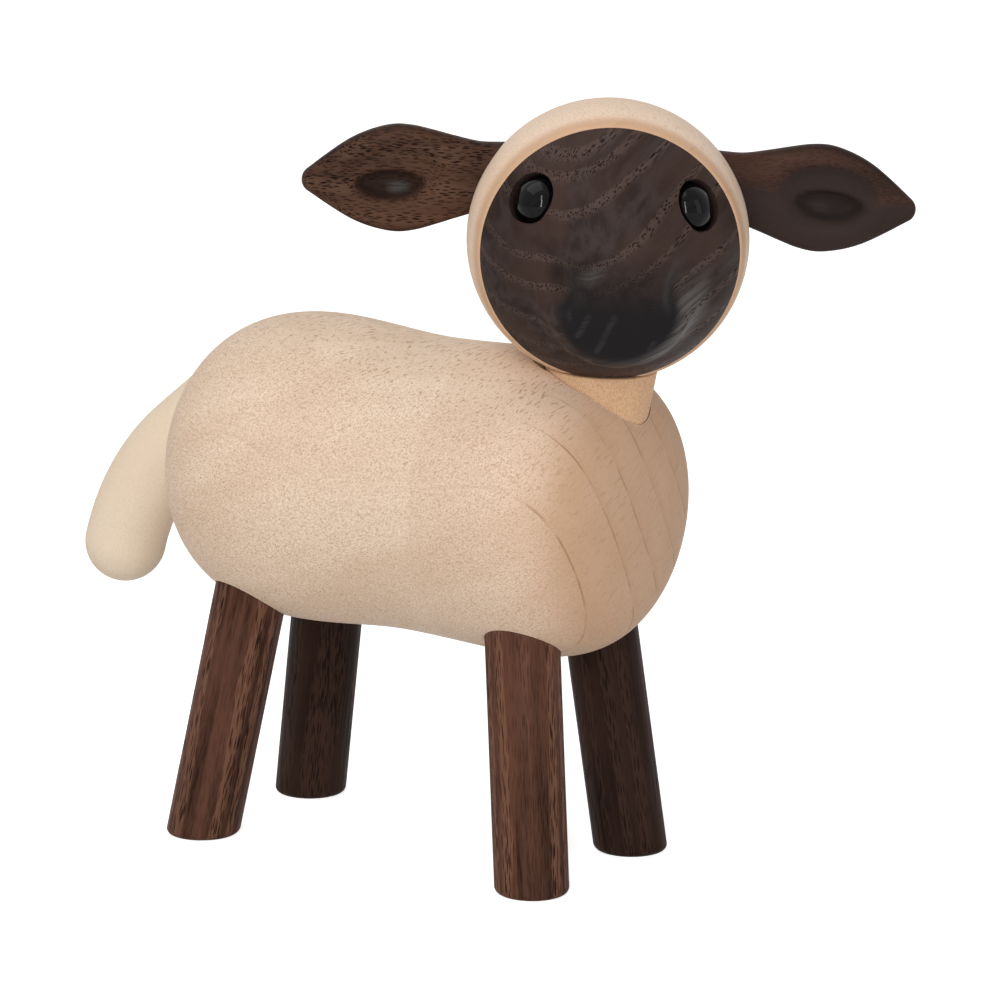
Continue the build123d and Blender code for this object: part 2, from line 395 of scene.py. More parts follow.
@dataclass
class Sketch:
    """Adds and links nodes in one tree."""

    tree: NodeTree

    def node(self, kind: str, **settings: object) -> Node:
        """A new node with its settings."""
        made = self.tree.nodes.new(kind)
        for key, value in settings.items():
            setattr(made, key, value)
        return made

    def plug(self, socket: NodeSocket, term: Term) -> None:
        """Link a socket to another, or give it a value."""
        if isinstance(term, NodeSocket):
            self.tree.links.new(term, socket)
        elif isinstance(term, tuple) and len(term) == 3 and len(getattr(socket, "default_value", ())) == 4:
            socket.default_value = (*term, 1.0)
        else:
            socket.default_value = term

    def fill(self, node: Node, **terms: Term) -> Node:
        """Plug inputs of a node by name; _ stands for a space in a name."""
        for name, term in terms.items():
            self.plug(node.inputs[name.replace("_", " ")], term)
        return node

    def use(self, group: NodeTree, **terms: Term) -> Node:
        """A shader node group with some of its inputs filled."""
        return self.fill(self.node("ShaderNodeGroup", node_tree=group), **terms)

    def math(self, operation: str, *terms: Term, clamp: bool = False) -> NodeSocket:
        """Result of a Math node."""
        made = self.node("ShaderNodeMath", operation=operation, use_clamp=clamp)
        for socket, term in zip(made.inputs, terms):
            self.plug(socket, term)
        return made.outputs[0]

    def times(self, first: Term, *others: Term) -> Term:
        """Product of values."""
        for term in others:
            first = self.math("MULTIPLY", first, term)
        return first

    def vector(self, operation: str, *terms: Term) -> NodeSocket:
        """Result of a Vector Math node: its vector, or its value for a length."""
        made = self.node("ShaderNodeVectorMath", operation=operation)
        slots = [made.inputs[0], made.inputs[3]] if operation == "SCALE" else made.inputs
        for socket, term in zip(slots, terms):
            self.plug(socket, term)
        return made.outputs["Value" if operation == "LENGTH" else "Vector"]

    def split(self, vector: Term) -> Sequence[NodeSocket]:
        """The three parts of a vector."""
        return self.fill(self.node("ShaderNodeSeparateXYZ"), Vector=vector).outputs

    def join(self, x: Term, y: Term, z: Term) -> NodeSocket:
        """A vector from three parts."""
        return self.fill(self.node("ShaderNodeCombineXYZ"), X=x, Y=y, Z=z).outputs[0]

    def noise(self, vector: Term, scale: Term, detail: float = 2.0, roughness: float = 0.5) -> NodeSocket:
        """Noise of 0 to 1 at a place."""
        made = self.node("ShaderNodeTexNoise", noise_dimensions="3D")
        return self.fill(made, Vector=vector, Scale=scale, Detail=detail, Roughness=roughness).outputs[0]

    def streaks(
        self, vector: Term, pace: float, scale: Term, detail: float = 2.0, roughness: float = 0.5
    ) -> NodeSocket:
        """Noise drawn out along the third axis, where it changes at a slower pace."""
        return self.noise(self.vector("MULTIPLY", vector, (1.0, 1.0, pace)), scale, detail, roughness)

    def step(
        self, value: Term, low: Term, high: Term, to_low: float = 0.0, to_high: float = 1.0
    ) -> NodeSocket:
        """Smooth step of a value from low to high."""
        made = self.node("ShaderNodeMapRange", interpolation_type="SMOOTHSTEP")
        self.fill(made, Value=value, From_Min=low, From_Max=high, To_Min=to_low, To_Max=to_high)
        return made.outputs[0]

    def mix(self, factor: Term, a: Term, b: Term) -> NodeSocket:
        """Mix of two colours."""
        made = self.node("ShaderNodeMix", data_type="RGBA", clamp_factor=True)
        for place, term in ((0, factor), (6, a), (7, b)):
            self.plug(made.inputs[place], term)
        return made.outputs[2]

    def layers(self, base: Term, *shares: tuple[Term, Colour]) -> Term:
        """A colour with others laid over it, each by its share."""
        for share, colour in shares:
            base = self.mix(share, base, colour)
        return base

    def bump(self, height: Term, strength: float, distance: float) -> NodeSocket:
        """Normal of a surface with fine relief."""
        made = self.node("ShaderNodeBump")
        return self.fill(made, Strength=strength, Distance=distance, Height=height).outputs[0]

    def stored(self, name: str, output: str = "Fac") -> NodeSocket:
        """A value that the mesh carries at each corner."""
        made = self.node("ShaderNodeAttribute", attribute_name=name, attribute_type="GEOMETRY")
        return made.outputs[output]


def start_group(
    name: str, kind: str, inputs: dict[str, Sequence[str]], outputs: dict[str, Sequence[str]]
) -> tuple[Sketch, Sequence[NodeSocket], Node]:
    """An empty node group with named sockets.

    Args:
        name: The group's name.
        kind: ShaderNodeTree or GeometryNodeTree.
        inputs: Names of the inputs of each type.
        outputs: Names of the outputs of each type.

    Returns:
        A sketch on the group, the sockets that its inputs come in by, and its output node.
    """
    tree = bpy.data.node_groups.new(name, kind)
    for way, sockets in (("INPUT", inputs), ("OUTPUT", outputs)):
        for sort, names in sockets.items():
            for socket in names:
                tree.interface.new_socket(socket, in_out=way, socket_type=f"NodeSocket{sort}")
    sketch = Sketch(tree)
    return sketch, sketch.node("NodeGroupInput").outputs, sketch.node("NodeGroupOutput")


# Shared wood effects


def ring_group() -> NodeTree:
    """Distance from the pith, wandering a little as real growth rings do."""
    s, given, out = start_group(
        "growth_rings",
        "ShaderNodeTree",
        {"Vector": ("Grain",), "Float": ("Wander", "Wander Scale")},
        {"Float": ("Radius", "Angle", "Along")},
    )
    x, y, z = s.split(given["Grain"])
    drift = s.math("SUBTRACT", s.streaks(given["Grain"], 0.3, given["Wander Scale"]), 0.5)
    radius = s.math("ADD", s.vector("LENGTH", s.join(x, y, 0.0)), s.times(drift, given["Wander"]))
    s.fill(out, Radius=radius, Angle=s.math("ARCTAN2", y, x), Along=z)
    return s.tree


def fleck_group() -> NodeTree:
    """Ray flecks: ribbons that run out from the pith, thin across and short along the grain."""
    s, given, out = start_group(
        "ray_flecks",
        "ShaderNodeTree",
        {
            "Float": (
                "Radius", "Angle", "Along", "Mean Radius", "Radial Length", "Thickness", "Height", "Amount",
            )
        },
        {"Float": ("Mask", "Shimmer")},
    )
    radial = s.math("DIVIDE", given["Radius"], given["Radial Length"])
    across = s.math("DIVIDE", s.times(given["Angle"], given["Mean Radius"]), given["Thickness"])
    along = s.math("DIVIDE", given["Along"], given["Height"])
    raw = s.noise(s.join(radial, across, along), scale=1.0, detail=1.5)
    low = s.math("SUBTRACT", 0.74, s.times(given["Amount"], 0.3))
    s.fill(out, Mask=s.step(raw, low, s.math("ADD", low, 0.12)), Shimmer=raw)
    return s.tree


def pore_group() -> NodeTree:
    """Open pores of ring-porous wood: thin tubes along the grain, gathered in the early wood."""
    s, given, out = start_group(
        "open_pores",
        "ShaderNodeTree",
        {"Vector": ("Grain",), "Float": ("Band", "Width", "Length", "Scatter")},
        {"Float": ("Pore", "Glint")},
    )
    x, y, z = s.split(given["Grain"])
    sizes = (given["Width"], given["Width"], given["Length"])
    place = s.join(*(s.math("DIVIDE", part, size) for part, size in zip((x, y, z), sizes)))
    cells = s.node("ShaderNodeTexVoronoi", voronoi_dimensions="3D", feature="F1")
    s.fill(cells, Vector=place, Scale=1.0)
    tube = s.step(cells.outputs["Distance"], 0.42, 0.26)
    keep = s.math("GREATER_THAN", s.split(cells.outputs["Color"])[0], 0.3)
    gathered = s.math("ADD", given["Band"], given["Scatter"], clamp=True)
    rim = s.step(cells.outputs["Distance"], 0.36, 0.52)
    s.fill(out, Pore=s.times(tube, keep, gathered), Glint=s.times(rim, gathered))
    return s.tree


@dataclass
class WoodEffects:
    """The node groups that the wooden finishes share."""

    rings: NodeTree = field(default_factory=ring_group)
    flecks: NodeTree = field(default_factory=fleck_group)
    pores: NodeTree = field(default_factory=pore_group)


def bare_material(name: str) -> tuple[Material, Sketch]:
    """A material with an empty tree, and a sketch on it."""
    material = bpy.data.materials.new(name)
    material.use_nodes = True
    material.node_tree.nodes.clear()
    return material, Sketch(material.node_tree)


def start_material(name: str) -> tuple[Material, Sketch, Node]:
    """A material with its Principled shader already joined to the output."""
    material, s = bare_material(name)
    shader = s.node("ShaderNodeBsdfPrincipled")
    s.fill(s.node("ShaderNodeOutputMaterial"), Surface=shader.outputs[0])
    return material, s, shader


@dataclass(frozen=True)
class MapleFinish:
    """Pale, fine-grained maple: thin ring lines, ray flecks and soft patches of tone."""

    name: str
    pale: Colour
    deep: Colour
    line: Colour
    fleck: Colour
    end: Colour
    ring_radii: tuple[float, ...]
    mean_radius: float
    line_strength: float
    fleck_strength: float
    patch_strength: float
    end_and_shade_strength: float
    silk_strength: float
    wander: float = 0.25
    roughness: float = 0.62
    line_width: float = 0.15
    line_fade: float = 1.8
    polish: float = 0.32

    def material(self, effects: WoodEffects) -> Material:
        """Build the finish.

        Args:
            effects: The shared wood groups.

        Returns:
            The material.
        """
        material, s, shader = start_material(self.name)
        grain, end_grain_and_shade, rays = s.stored(GRAIN, "Vector"), s.stored(END_GRAIN_AND_SHADE), s.stored(RAYS)
        rings = s.use(effects.rings, Grain=grain, Wander=self.wander, Wander_Scale=0.07)
        radius, angle, along = rings.outputs
        place = {"Radius": radius, "Angle": angle, "Along": along, "Mean_Radius": self.mean_radius}
        fine = s.use(effects.flecks, **place, **FINE_FLECKS).outputs
        coarse = s.use(effects.flecks, **place, **COARSE_FLECKS).outputs
        line, early = ring_lines(s, radius, self.ring_radii, self.line_width, self.line_fade)
        ends = s.step(end_grain_and_shade, 0.26, 0.6, 0.1, 1.0)
        broken = s.times(s.step(s.noise(grain, scale=0.22), 0.34, 0.62), ends)
        silk = s.streaks(grain, pace=0.7, scale=6.5, roughness=0.7)
        patch = s.streaks(grain, pace=0.22, scale=0.12, detail=3.0, roughness=0.55)
        speckled = s.step(rays, 0.4, 0.9, 1.0, 0.4)
        ribboned = s.step(rays, 0.15, 0.85, self.fleck_strength * 0.5, self.fleck_strength * 1.1)
        base = s.layers(
            self.pale,
            (s.times(s.step(patch, 0.35, 0.7), self.patch_strength), self.deep),
            (s.times(early, ends, 0.5), self.deep),
            # End grain's own tone, and painted shade where a piece marks it: the ball's rim and the body's
            # front.
            (s.times(s.step(end_grain_and_shade, 0.0, 0.95), self.end_and_shade_strength), self.end),
            (s.times(s.step(silk, 0.34, 0.6, self.silk_strength, 0.0), speckled), self.fleck),
            (s.times(fine["Mask"], s.times(speckled, self.fleck_strength)), self.fleck),
            (s.times(coarse["Mask"], ribboned), self.fleck),
            (s.times(line, broken, self.line_strength), self.line),
        )
        low, high = self.roughness - 0.08, self.roughness + 0.08
        s.fill(
            shader,
            Base_Color=base,
            Roughness=s.step(fine["Shimmer"], 0.2, 0.8, low, high),
            Specular_IOR_Level=self.polish,
            Normal=s.bump(fine["Shimmer"], strength=0.12, distance=0.06 * MM),
        )
        return material


def ring_lines(
    s: Sketch, radius: NodeSocket, radii: Sequence[float], width: float, fade: float
) -> tuple[Term, Term]:
    """Thin lines at given ring radii, each with a tone that fades out on its inner side.

    Args:
        s: The sketch to add to.
        radius: Distance from the pith.
        radii: Where the lines lie.
        width: Width of a line, in millimetres.
        fade: Width of the tone beside it.

    Returns:
        The line mask and the fading tone.
    """
    line: Term = 0.0
    shade: Term = 0.0
    for place in radii:
        gap = s.math("SUBTRACT", radius, place)
        edge = s.step(s.math("ABSOLUTE", gap), width, width * 0.25)
        behind = s.times(s.step(gap, -fade, 0.0), s.math("LESS_THAN", gap, 0.0))
        line = s.math("MAXIMUM", line, edge)
        shade = s.math("MAXIMUM", shade, behind)
    return line, shade


def ring_bands(s: Sketch, radius: NodeSocket, radii: Sequence[float], width: float) -> Term:
    """Bands of early wood that start sharply at given radii and thin out outwards."""
    band: Term = 0.0
    for place in radii:
        gap = s.math("SUBTRACT", radius, place)
        body = s.times(s.step(gap, -0.12, 0.12), s.step(gap, width, width * 0.35))
        band = s.math("MAXIMUM", band, body)
    return band


@dataclass(frozen=True)
class OakFinish:
    """Dark smoked oak: open pores in bands, warm and cool streaks, an oiled satin surface."""

    name: str
    dark: Colour
    mid: Colour
    warm: Colour
    pore: Colour
    glint: Colour
    # Colour of worn, smoother parts, which also paints their shade.
    wear_and_shade: Colour
    ring_radii: tuple[float, ...]
    band_width: float
    wander: float = 0.9
    pore_strength: float = 0.85
    streak_length: float = 0.05
    streak_scale: float = 0.55
    streak_strength: float = 0.8
    scatter: float = 0.12
    pore_width: float = 0.22
    glint_strength: float = 0.4
    pore_length: float = 2.6
    roughness: float = 0.5
    polish: float = 0.04
    relief: float = 0.4
    # Colour of painted highlights and of a few pale marks, and colour of painted shade.
    highlight_and_marks: Colour = (0.14, 0.132, 0.126)
    shadow: Colour = (0.004, 0.003, 0.003)

    def material(self, effects: WoodEffects) -> Material:
        """Build the finish.

        Args:
            effects: The shared wood groups.

        Returns:
            The material.
        """
        material, s, shader = start_material(self.name)
        grain, wear_and_shade = s.stored(GRAIN, "Vector"), s.stored(WEAR_AND_SHADE)
        rings = s.use(effects.rings, Grain=grain, Wander=self.wander, Wander_Scale=0.16)
        radius, _, along = rings.outputs
        band = ring_bands(s, radius, self.ring_radii, self.band_width)
        tubes = s.use(
            effects.pores,
            Grain=grain,
            Band=band,
            Width=self.pore_width,
            Length=self.pore_length,
            Scatter=self.scatter,
        ).outputs
        streak = s.streaks(grain, self.streak_length, self.streak_scale, detail=3.0, roughness=0.6)
        soft = s.step(s.streaks(grain, pace=0.3, scale=0.12), 0.4, 0.65)
        open_share = s.math("SUBTRACT", 1.0, s.times(wear_and_shade, 0.75))
        pore = s.times(tubes["Pore"], open_share)
        strands = s.join(s.times(radius, 2.4), 0.0, s.times(along, 0.1))
        stripes = s.step(s.noise(strands, scale=1.0), 0.4, 0.56, 0.4, 1.0)
        base = s.layers(
            self.dark,
            (s.step(streak, 0.36, 0.66), self.mid),
            (s.times(soft, self.streak_strength), self.warm),
            (s.times(tubes["Glint"], s.times(open_share, self.glint_strength)), self.glint),
            # Wear with painted shade, then painted highlights with a few pale marks, then painted shade in
            # sockets and hollows.
            (wear_and_shade, self.wear_and_shade),
            (s.times(s.stored(HIGHLIGHT_AND_MARKS), stripes), self.highlight_and_marks),
            (s.times(pore, self.pore_strength), self.pore),
            (s.stored(PAINTED_SHADE), self.shadow),
        )
        rough = s.step(streak, 0.2, 0.8, self.roughness + 0.05, self.roughness - 0.05)
        height = s.math("SUBTRACT", s.times(streak, 0.35), pore)
        s.fill(
            shader,
            Base_Color=base,
            Roughness=s.math("ADD", rough, s.times(pore, 0.3)),
            Specular_IOR_Level=self.polish,
            Normal=s.bump(height, self.relief, distance=0.12 * MM),
        )
        return material


@dataclass(frozen=True)
class BeadFinish:
    """Black bead, with the faint haze of fine handling marks."""

    name: str
    colour: Colour
    haze: Colour
    polish: float = 0.12

    def material(self) -> Material:
        """Build the finish."""
        material, s, shader = start_material(self.name)
        place = s.node("ShaderNodeTexCoord").outputs["Object"]
        haze = s.noise(place, scale=900.0, detail=3.0)
        s.fill(
            shader,
            Base_Color=s.mix(s.step(haze, 0.4, 0.8), self.colour, self.haze),
            Roughness=s.step(haze, 0.3, 0.8, 0.02, 0.05),
            Specular_IOR_Level=self.polish,
        )
        return material


@dataclass(frozen=True)
class DowelFinish:
    """Plain sawn dowel wood for the joining pins inside."""

    name: str
    pale: Colour
    deep: Colour

    def material(self) -> Material:
        """Build the finish."""
        material, s, shader = start_material(self.name)
        place = s.node("ShaderNodeTexCoord").outputs["Object"]
        streak = s.streaks(place, pace=0.15, scale=1400.0, detail=3.0)
        s.fill(
            shader,
            Base_Color=s.mix(s.step(streak, 0.35, 0.7), self.pale, self.deep),
            Roughness=s.step(streak, 0.3, 0.7, 0.55, 0.7),
        )
        return material


# Places that the pieces share


@dataclass(frozen=True)
class Stance:
    """Where the body's turning axis, the neck and the head are."""

    axis_height: float = 50.4
    nose_down: float = 1.3
    rear_length: float = 35.4
    front_radius: float = 20.5
    neck_x: float = 29.2
    neck_top_below_barrel: float = 1.1
    neck_lean: float = 3.0
    head_seat_gap: float = 0.15
    head_turn: float = -56.0
    ball_radius: float = 18.5
    ball_flat_radius: float = 7.5

    def barrel(self) -> Axes:
        """The body's turning axis, pointing to the front, with the first axis up."""
        dip = math.radians(self.nose_down)
        forward = np.array([math.cos(dip), 0, -math.sin(dip)])
        return axes_along((0, 0, self.axis_height), forward, (0, 0, 1))

    def neck(self) -> Axes:
        """The top of the neck, with the third axis up the neck."""
        lean = math.radians(self.neck_lean)
        height = self.axis_height - self.neck_x * math.tan(math.radians(self.nose_down))
        top = (self.neck_x, 0, height + self.front_radius - self.neck_top_below_barrel)
        return axes_along(top, (math.sin(lean), 0, math.cos(lean)), (1, 0, 0))

    def flat_drop(self) -> float:
        """How far the flat under the ball is from its middle."""
        return math.sqrt(self.ball_radius**2 - self.ball_flat_radius**2)

    def head(self) -> Axes:
        """The middle of the ball: front, left and up."""
        neck = self.neck()
        turn = math.radians(self.head_turn)
        front = neck.x * math.cos(turn) + neck.y * math.sin(turn)
        centre = neck.origin + neck.z * (self.head_seat_gap + self.flat_drop())
        return Axes(centre, front, np.cross(neck.z, front), neck.z)


def heading(elevation: float, azimuth: float = 0.0) -> Array:
    """Direction on the head's axes, up from level and left from straight ahead."""
    e, a = math.radians(elevation), math.radians(azimuth)
    return np.array([math.cos(e) * math.cos(a), math.cos(e) * math.sin(a), math.sin(e)])


# Sub-assemblies


@dataclass(frozen=True)
class Foot:
    """Where a leg stands, how it leans in degrees, and its sole's place from the pith of its board."""

    x: float
    y: float
    rake: float
    splay: float
    pith: tuple[float, float, float]

    def up_leg(self) -> Array:
        """Direction up the leg."""
        inward = -math.copysign(math.tan(math.radians(self.splay)), self.y)
        return unit((-math.tan(math.radians(self.rake)), inward, 1))


@dataclass
class Legs:
    """Four dowel legs, each sawn level at its sole, made by one Geometry Nodes tree."""

    stance: Stance
    radius: float = 5.0
    sole_rounding: float = 0.9
    seat_below_axis: float = 9.5
    groove: float = 0.07
    feet: dict[str, Foot] = field(
        default_factory=lambda: {
            "front_left_leg": Foot(26.8, 12.6, rake=6.1, splay=5.1, pith=(21.0, 9.0, 0.0)),
            "front_right_leg": Foot(26.8, -12.6, rake=6.1, splay=5.1, pith=(-13.0, 19.0, 37.0)),
            "rear_left_leg": Foot(-26.8, 13.0, rake=-10.1, splay=5.6, pith=(17.0, -16.0, 81.0)),
            "rear_right_leg": Foot(-26.8, -13.0, rake=-10.1, splay=5.6, pith=(-8.0, 22.0, 123.0)),
        }
    )

    def reach(self, foot: Foot) -> float:
        """Length of a leg from its sole to its seat in the body."""
        dip = foot.x * math.tan(math.radians(self.stance.nose_down))
        seat = self.stance.axis_height - dip - self.seat_below_axis
        return seat / foot.up_leg()[2]

    def tree(self) -> NodeTree:
        """Geometry Nodes tree of one dowel: a fine tube, rounded at the sole and grooved by its grain."""
        s, given, out = start_group(
            "dowel_leg",
            "GeometryNodeTree",
            {
                "Vector": ("Foot", "Up Leg", "Pith"),
                "Float": ("Radius", "Reach", "Sole Rounding", "Groove"),
                "Material": ("Finish",),
            },
            {"Geometry": ("Geometry",)},
        )
        tube = s.node("GeometryNodeMeshCylinder", fill_type="TRIANGLE_FAN")
        s.fill(tube, Vertices=160, Side_Segments=150, Radius=1.0, Depth=1.0)
        x, y, z = s.split(s.node("GeometryNodeInputPosition").outputs[0])
        rounding, up = given["Sole Rounding"], given["Up Leg"]
        height = s.times(s.math("POWER", s.math("ADD", z, 0.5, clamp=True), 1.6), given["Reach"])
        short = s.math("SUBTRACT", rounding, s.math("MINIMUM", height, rounding))
        squares = s.math("SUBTRACT", s.math("POWER", rounding, 2.0), s.math("POWER", short, 2.0))
        plain = s.math("ADD", s.math("SUBTRACT", given["Radius"], rounding), s.math("SQRT", squares))
        wood = s.vector("ADD", s.join(s.times(x, plain), s.times(y, plain), height), given["Pith"])
        streak = s.streaks(wood, pace=0.05, scale=1.6, roughness=0.6)
        wide = s.math("SUBTRACT", plain, s.times(s.step(streak, 0.5, 0.72), given["Groove"]))
        across = s.vector("NORMALIZE", s.vector("CROSS_PRODUCT", up, (1.0, 0.0, 0.0)))
        along = s.vector("CROSS_PRODUCT", across, up)
        forward = s.vector("SCALE", along, s.times(x, wide))
        spoke = s.vector("ADD", forward, s.vector("SCALE", across, s.times(y, wide)))
        level = s.math("SUBTRACT", height, s.math("DIVIDE", s.split(spoke)[2], s.split(up)[2]))
        place = s.vector("ADD", s.vector("ADD", given["Foot"], spoke), s.vector("SCALE", up, level))
        store = s.node("GeometryNodeStoreNamedAttribute", data_type="FLOAT_VECTOR", domain="POINT")
        s.fill(store, Geometry=tube.outputs["Mesh"], Name=GRAIN, Value=wood)
        move = s.node("GeometryNodeSetPosition")
        s.fill(move, Geometry=store.outputs["Geometry"], Position=s.vector("SCALE", place, MM))
        s.fill(out, Geometry=dressed(s, move.outputs[0], given["Finish"]))
        return s.tree

    def build(self, near_oak: Material, shaded_far_oak: Material) -> list[Object]:
        """Make the four legs.

        Args:
            near_oak: Finish of the two legs on the sheep's right.
            shaded_far_oak: Finish of the two on its left: the same oak painted darker for the shade under the
                body.

        Returns:
            The legs.
        """
        tree = self.tree()
        made = []
        for name, foot in self.feet.items():
            # The far legs take the darker copy, which paints the body's shade on them.
            material = near_oak if foot.y < 0 else shaded_far_oak
            values = {
                "Foot": (foot.x, foot.y, 0.0),
                "Up Leg": tuple(foot.up_leg()),
                "Radius": self.radius,
                "Reach": self.reach(foot),
                "Sole Rounding": self.sole_rounding,
                "Groove": self.groove,
                "Pith": foot.pith,
                "Finish": material,
            }
            piece = grown(f"{name}_dowel", tree, values)
            crisp(piece, degrees=40)
            made.append(place_piece(piece, Body.SHEEP, name, material))
        return made


def dressed(s: Sketch, geometry: NodeSocket, finish: NodeSocket) -> NodeSocket:
    """Geometry with its instances made real and its finish set."""
    real = s.fill(s.node("GeometryNodeRealizeInstances"), Geometry=geometry)
    return s.fill(s.node("GeometryNodeSetMaterial"), Geometry=real.outputs[0], Material=finish).outputs[0]


def grown(
    name: str, tree: NodeTree, values: dict[str, object], path: bpy.types.Curve | None = None
) -> Object:
    """Plain mesh object made by a Geometry Nodes tree.

    Args:
        name: The piece's name.
        tree: The tree.
        values: The tree's inputs by name.
        path: A curve for the tree to work on, which is removed afterwards.

    Returns:
        The new object, with no modifier on it.
    """
    data = path or bpy.data.meshes.new(name)
    source = linked(f"{name}_source", data)
    modifier = source.modifiers.new("nodes", "NODES")
    modifier.node_group = tree
    for item in tree.interface.items_tree:
        if item.item_type == "SOCKET" and item.in_out == "INPUT" and item.name in values:
            modifier[item.identifier] = values[item.name]
    mesh = evaluated(source)
    bpy.data.objects.remove(source)
    (bpy.data.curves if path else bpy.data.meshes).remove(data)
    mesh.name = name
    return linked(name, mesh)


@dataclass
class Barrel:
    """The turned body, bored for the legs and the tail, with the neck's pocket and a dish for the ball."""

    stance: Stance
    legs: Legs
    front_length: float = 36.9
    rear_radius: float = 21.1
    waist_depth: float = 0.8
    rear_cap: float = 20.3
    front_cap: float = 16.3
    rear_fullness: float = 0.67
    front_fullness: float = 0.74
    fit: float = 0.05
    relief: float = 0.5
    bore_start: float = 5.0
    front_shade: float = 0.24
    front_shade_edge: tuple[float, float] = (11.2, 12.4)
    columns: int = 300

    def profile(self) -> Array:
        """Rows of place along the axis and radius, from the rear pole to the front pole."""
        front_radius, rear_length = self.stance.front_radius, self.stance.rear_length
        rear_x = self.rear_cap - rear_length
        front_x = self.front_length - self.front_cap
        rear = bezier(
            [
                (-rear_length, 0),
                (-rear_length, self.rear_fullness * self.rear_radius),
                (rear_x - self.rear_fullness * self.rear_cap, self.rear_radius),
                (rear_x, self.rear_radius),
            ],
            70,
        )
        front = bezier(
            [
                (front_x, front_radius),
                (front_x + self.front_fullness * self.front_cap, front_radius),
                (self.front_length, self.front_fullness * front_radius),
                (self.front_length, 0),
            ],
            70,
        )
        middle_x = (rear_x + front_x) / 2
        waist = (self.rear_radius + front_radius) / 2 - self.waist_depth
        x = np.linspace(rear_x, front_x, 82)[1:-1]
        radius = np.where(
            x < middle_x,
            waist + (self.rear_radius - waist) * smooth(middle_x, rear_x, x),
            waist + (front_radius - waist) * smooth(middle_x, front_x, x),
        )
        return np.vstack([rear, np.stack([x, radius], axis=1), front])

    def build(self, material: Material) -> Object:
        """Turn the body and cut what is let into it.

        Args:
            material: Its finish.

        Returns:
            The body.
        """
        place = self.stance.barrel()
        body = turned("barrel_body", place, self.profile(), self.columns)
        tools = []
        for foot in self.legs.feet.values():
            stand = axes_along((foot.x, foot.y, 0), foot.up_leg(), (1, 0, 0))
            bore = rod(self.bore_start, self.legs.reach(foot), self.legs.radius + self.fit)
            tools.append(turned("leg_bore", stand, bore, BORE_COLUMNS))
        tools.append(turned("neck_pocket", self.stance.neck(), Neck(self.stance).pocket(), BORE_COLUMNS))
        tail = Tail(self.stance)
        start = axes_along(tail.start(), tail.way_out(), (0, 1, 0))
        bore = rod(0, tail.tenon + tail.straight, tail.radius + self.fit)
        tools.append(turned("tail_bore", start, bore, BORE_COLUMNS))
        wide = self.stance.ball_radius + self.relief
        ball = arc((-QUARTER, QUARTER), 161, up=wide, out=wide)
        tools.append(turned("head_dish", self.stance.head(), ball, columns=240))
        cut(body, tools)
        crisp(body, degrees=35)
        mark_grain(body, self.block())
        # Painted shade: from a turned crease forward, the body is toned warmer and darker, on top of its end
        # grain.
        along = place.into(corners(body))[:, 2]
        ends = np.maximum(normals(body) @ place.z, 0) ** 2
        mark_value(body, END_GRAIN_AND_SHADE, np.clip(ends + self.front_shade * smooth(*self.front_shade_edge, along), 0, 1))
        return place_piece(body, Body.SHEEP, "body", material)

    def block(self) -> Axes:
        """The block of wood: pith far out on the sheep's left, grain rising to the front."""
        return axes_along((0, 41.3, 61.4), (1.0, -0.053, 0.5), (0, -1, 0))


@dataclass
class Neck:
    """A tapered plug let into the front shoulder."""

    stance: Stance
    top_radius: float = 7.45
    half_angle: float = 8.0
    length: float = 10.0
    foot_gap: float = 0.05
    pocket_top: float = 3.0
    seam: float = 0.14
    edge: float = 0.25

    def radius_at(self, height: float) -> float:
        """Radius at a height above the top, which is negative inside the body."""
        return self.top_radius + height * math.tan(math.radians(self.half_angle))

    def pocket(self) -> Array:
        """Profile of the hole that the plug sits in."""
        low, high = -self.length, self.pocket_top
        return rod(low, high, self.radius_at(low) + self.seam, self.radius_at(high) + self.seam)

    def build(self, material: Material) -> Object:
        """Turn the plug.

        Args:
            material: Its finish.

        Returns:
            The neck.
        """
        edge, foot = self.edge, self.foot_gap - self.length
        flat = self.top_radius - edge
        heights = np.linspace(foot, -edge, 60)
        wall = np.stack([heights, [self.radius_at(h) for h in heights]], axis=1)
        rim = arc((0, QUARTER), 7, up=edge, out=edge, height=-edge, radius=flat)[1:]
        top = disc(0, flat, 0, 9)[1:]
        place = self.stance.neck()
        neck = turned("neck_plug", place, np.vstack([[(foot, 0)], wall, rim, top]), BORE_COLUMNS)
        crisp(neck, degrees=40)
        pith = place.origin + np.array([-22.0, 20.0, 0])
        mark_grain(neck, axes_along(pith, (0.12, 0.05, 1), (1, 0, 0)))
        return place_piece(neck, Body.SHEEP, "neck", material)


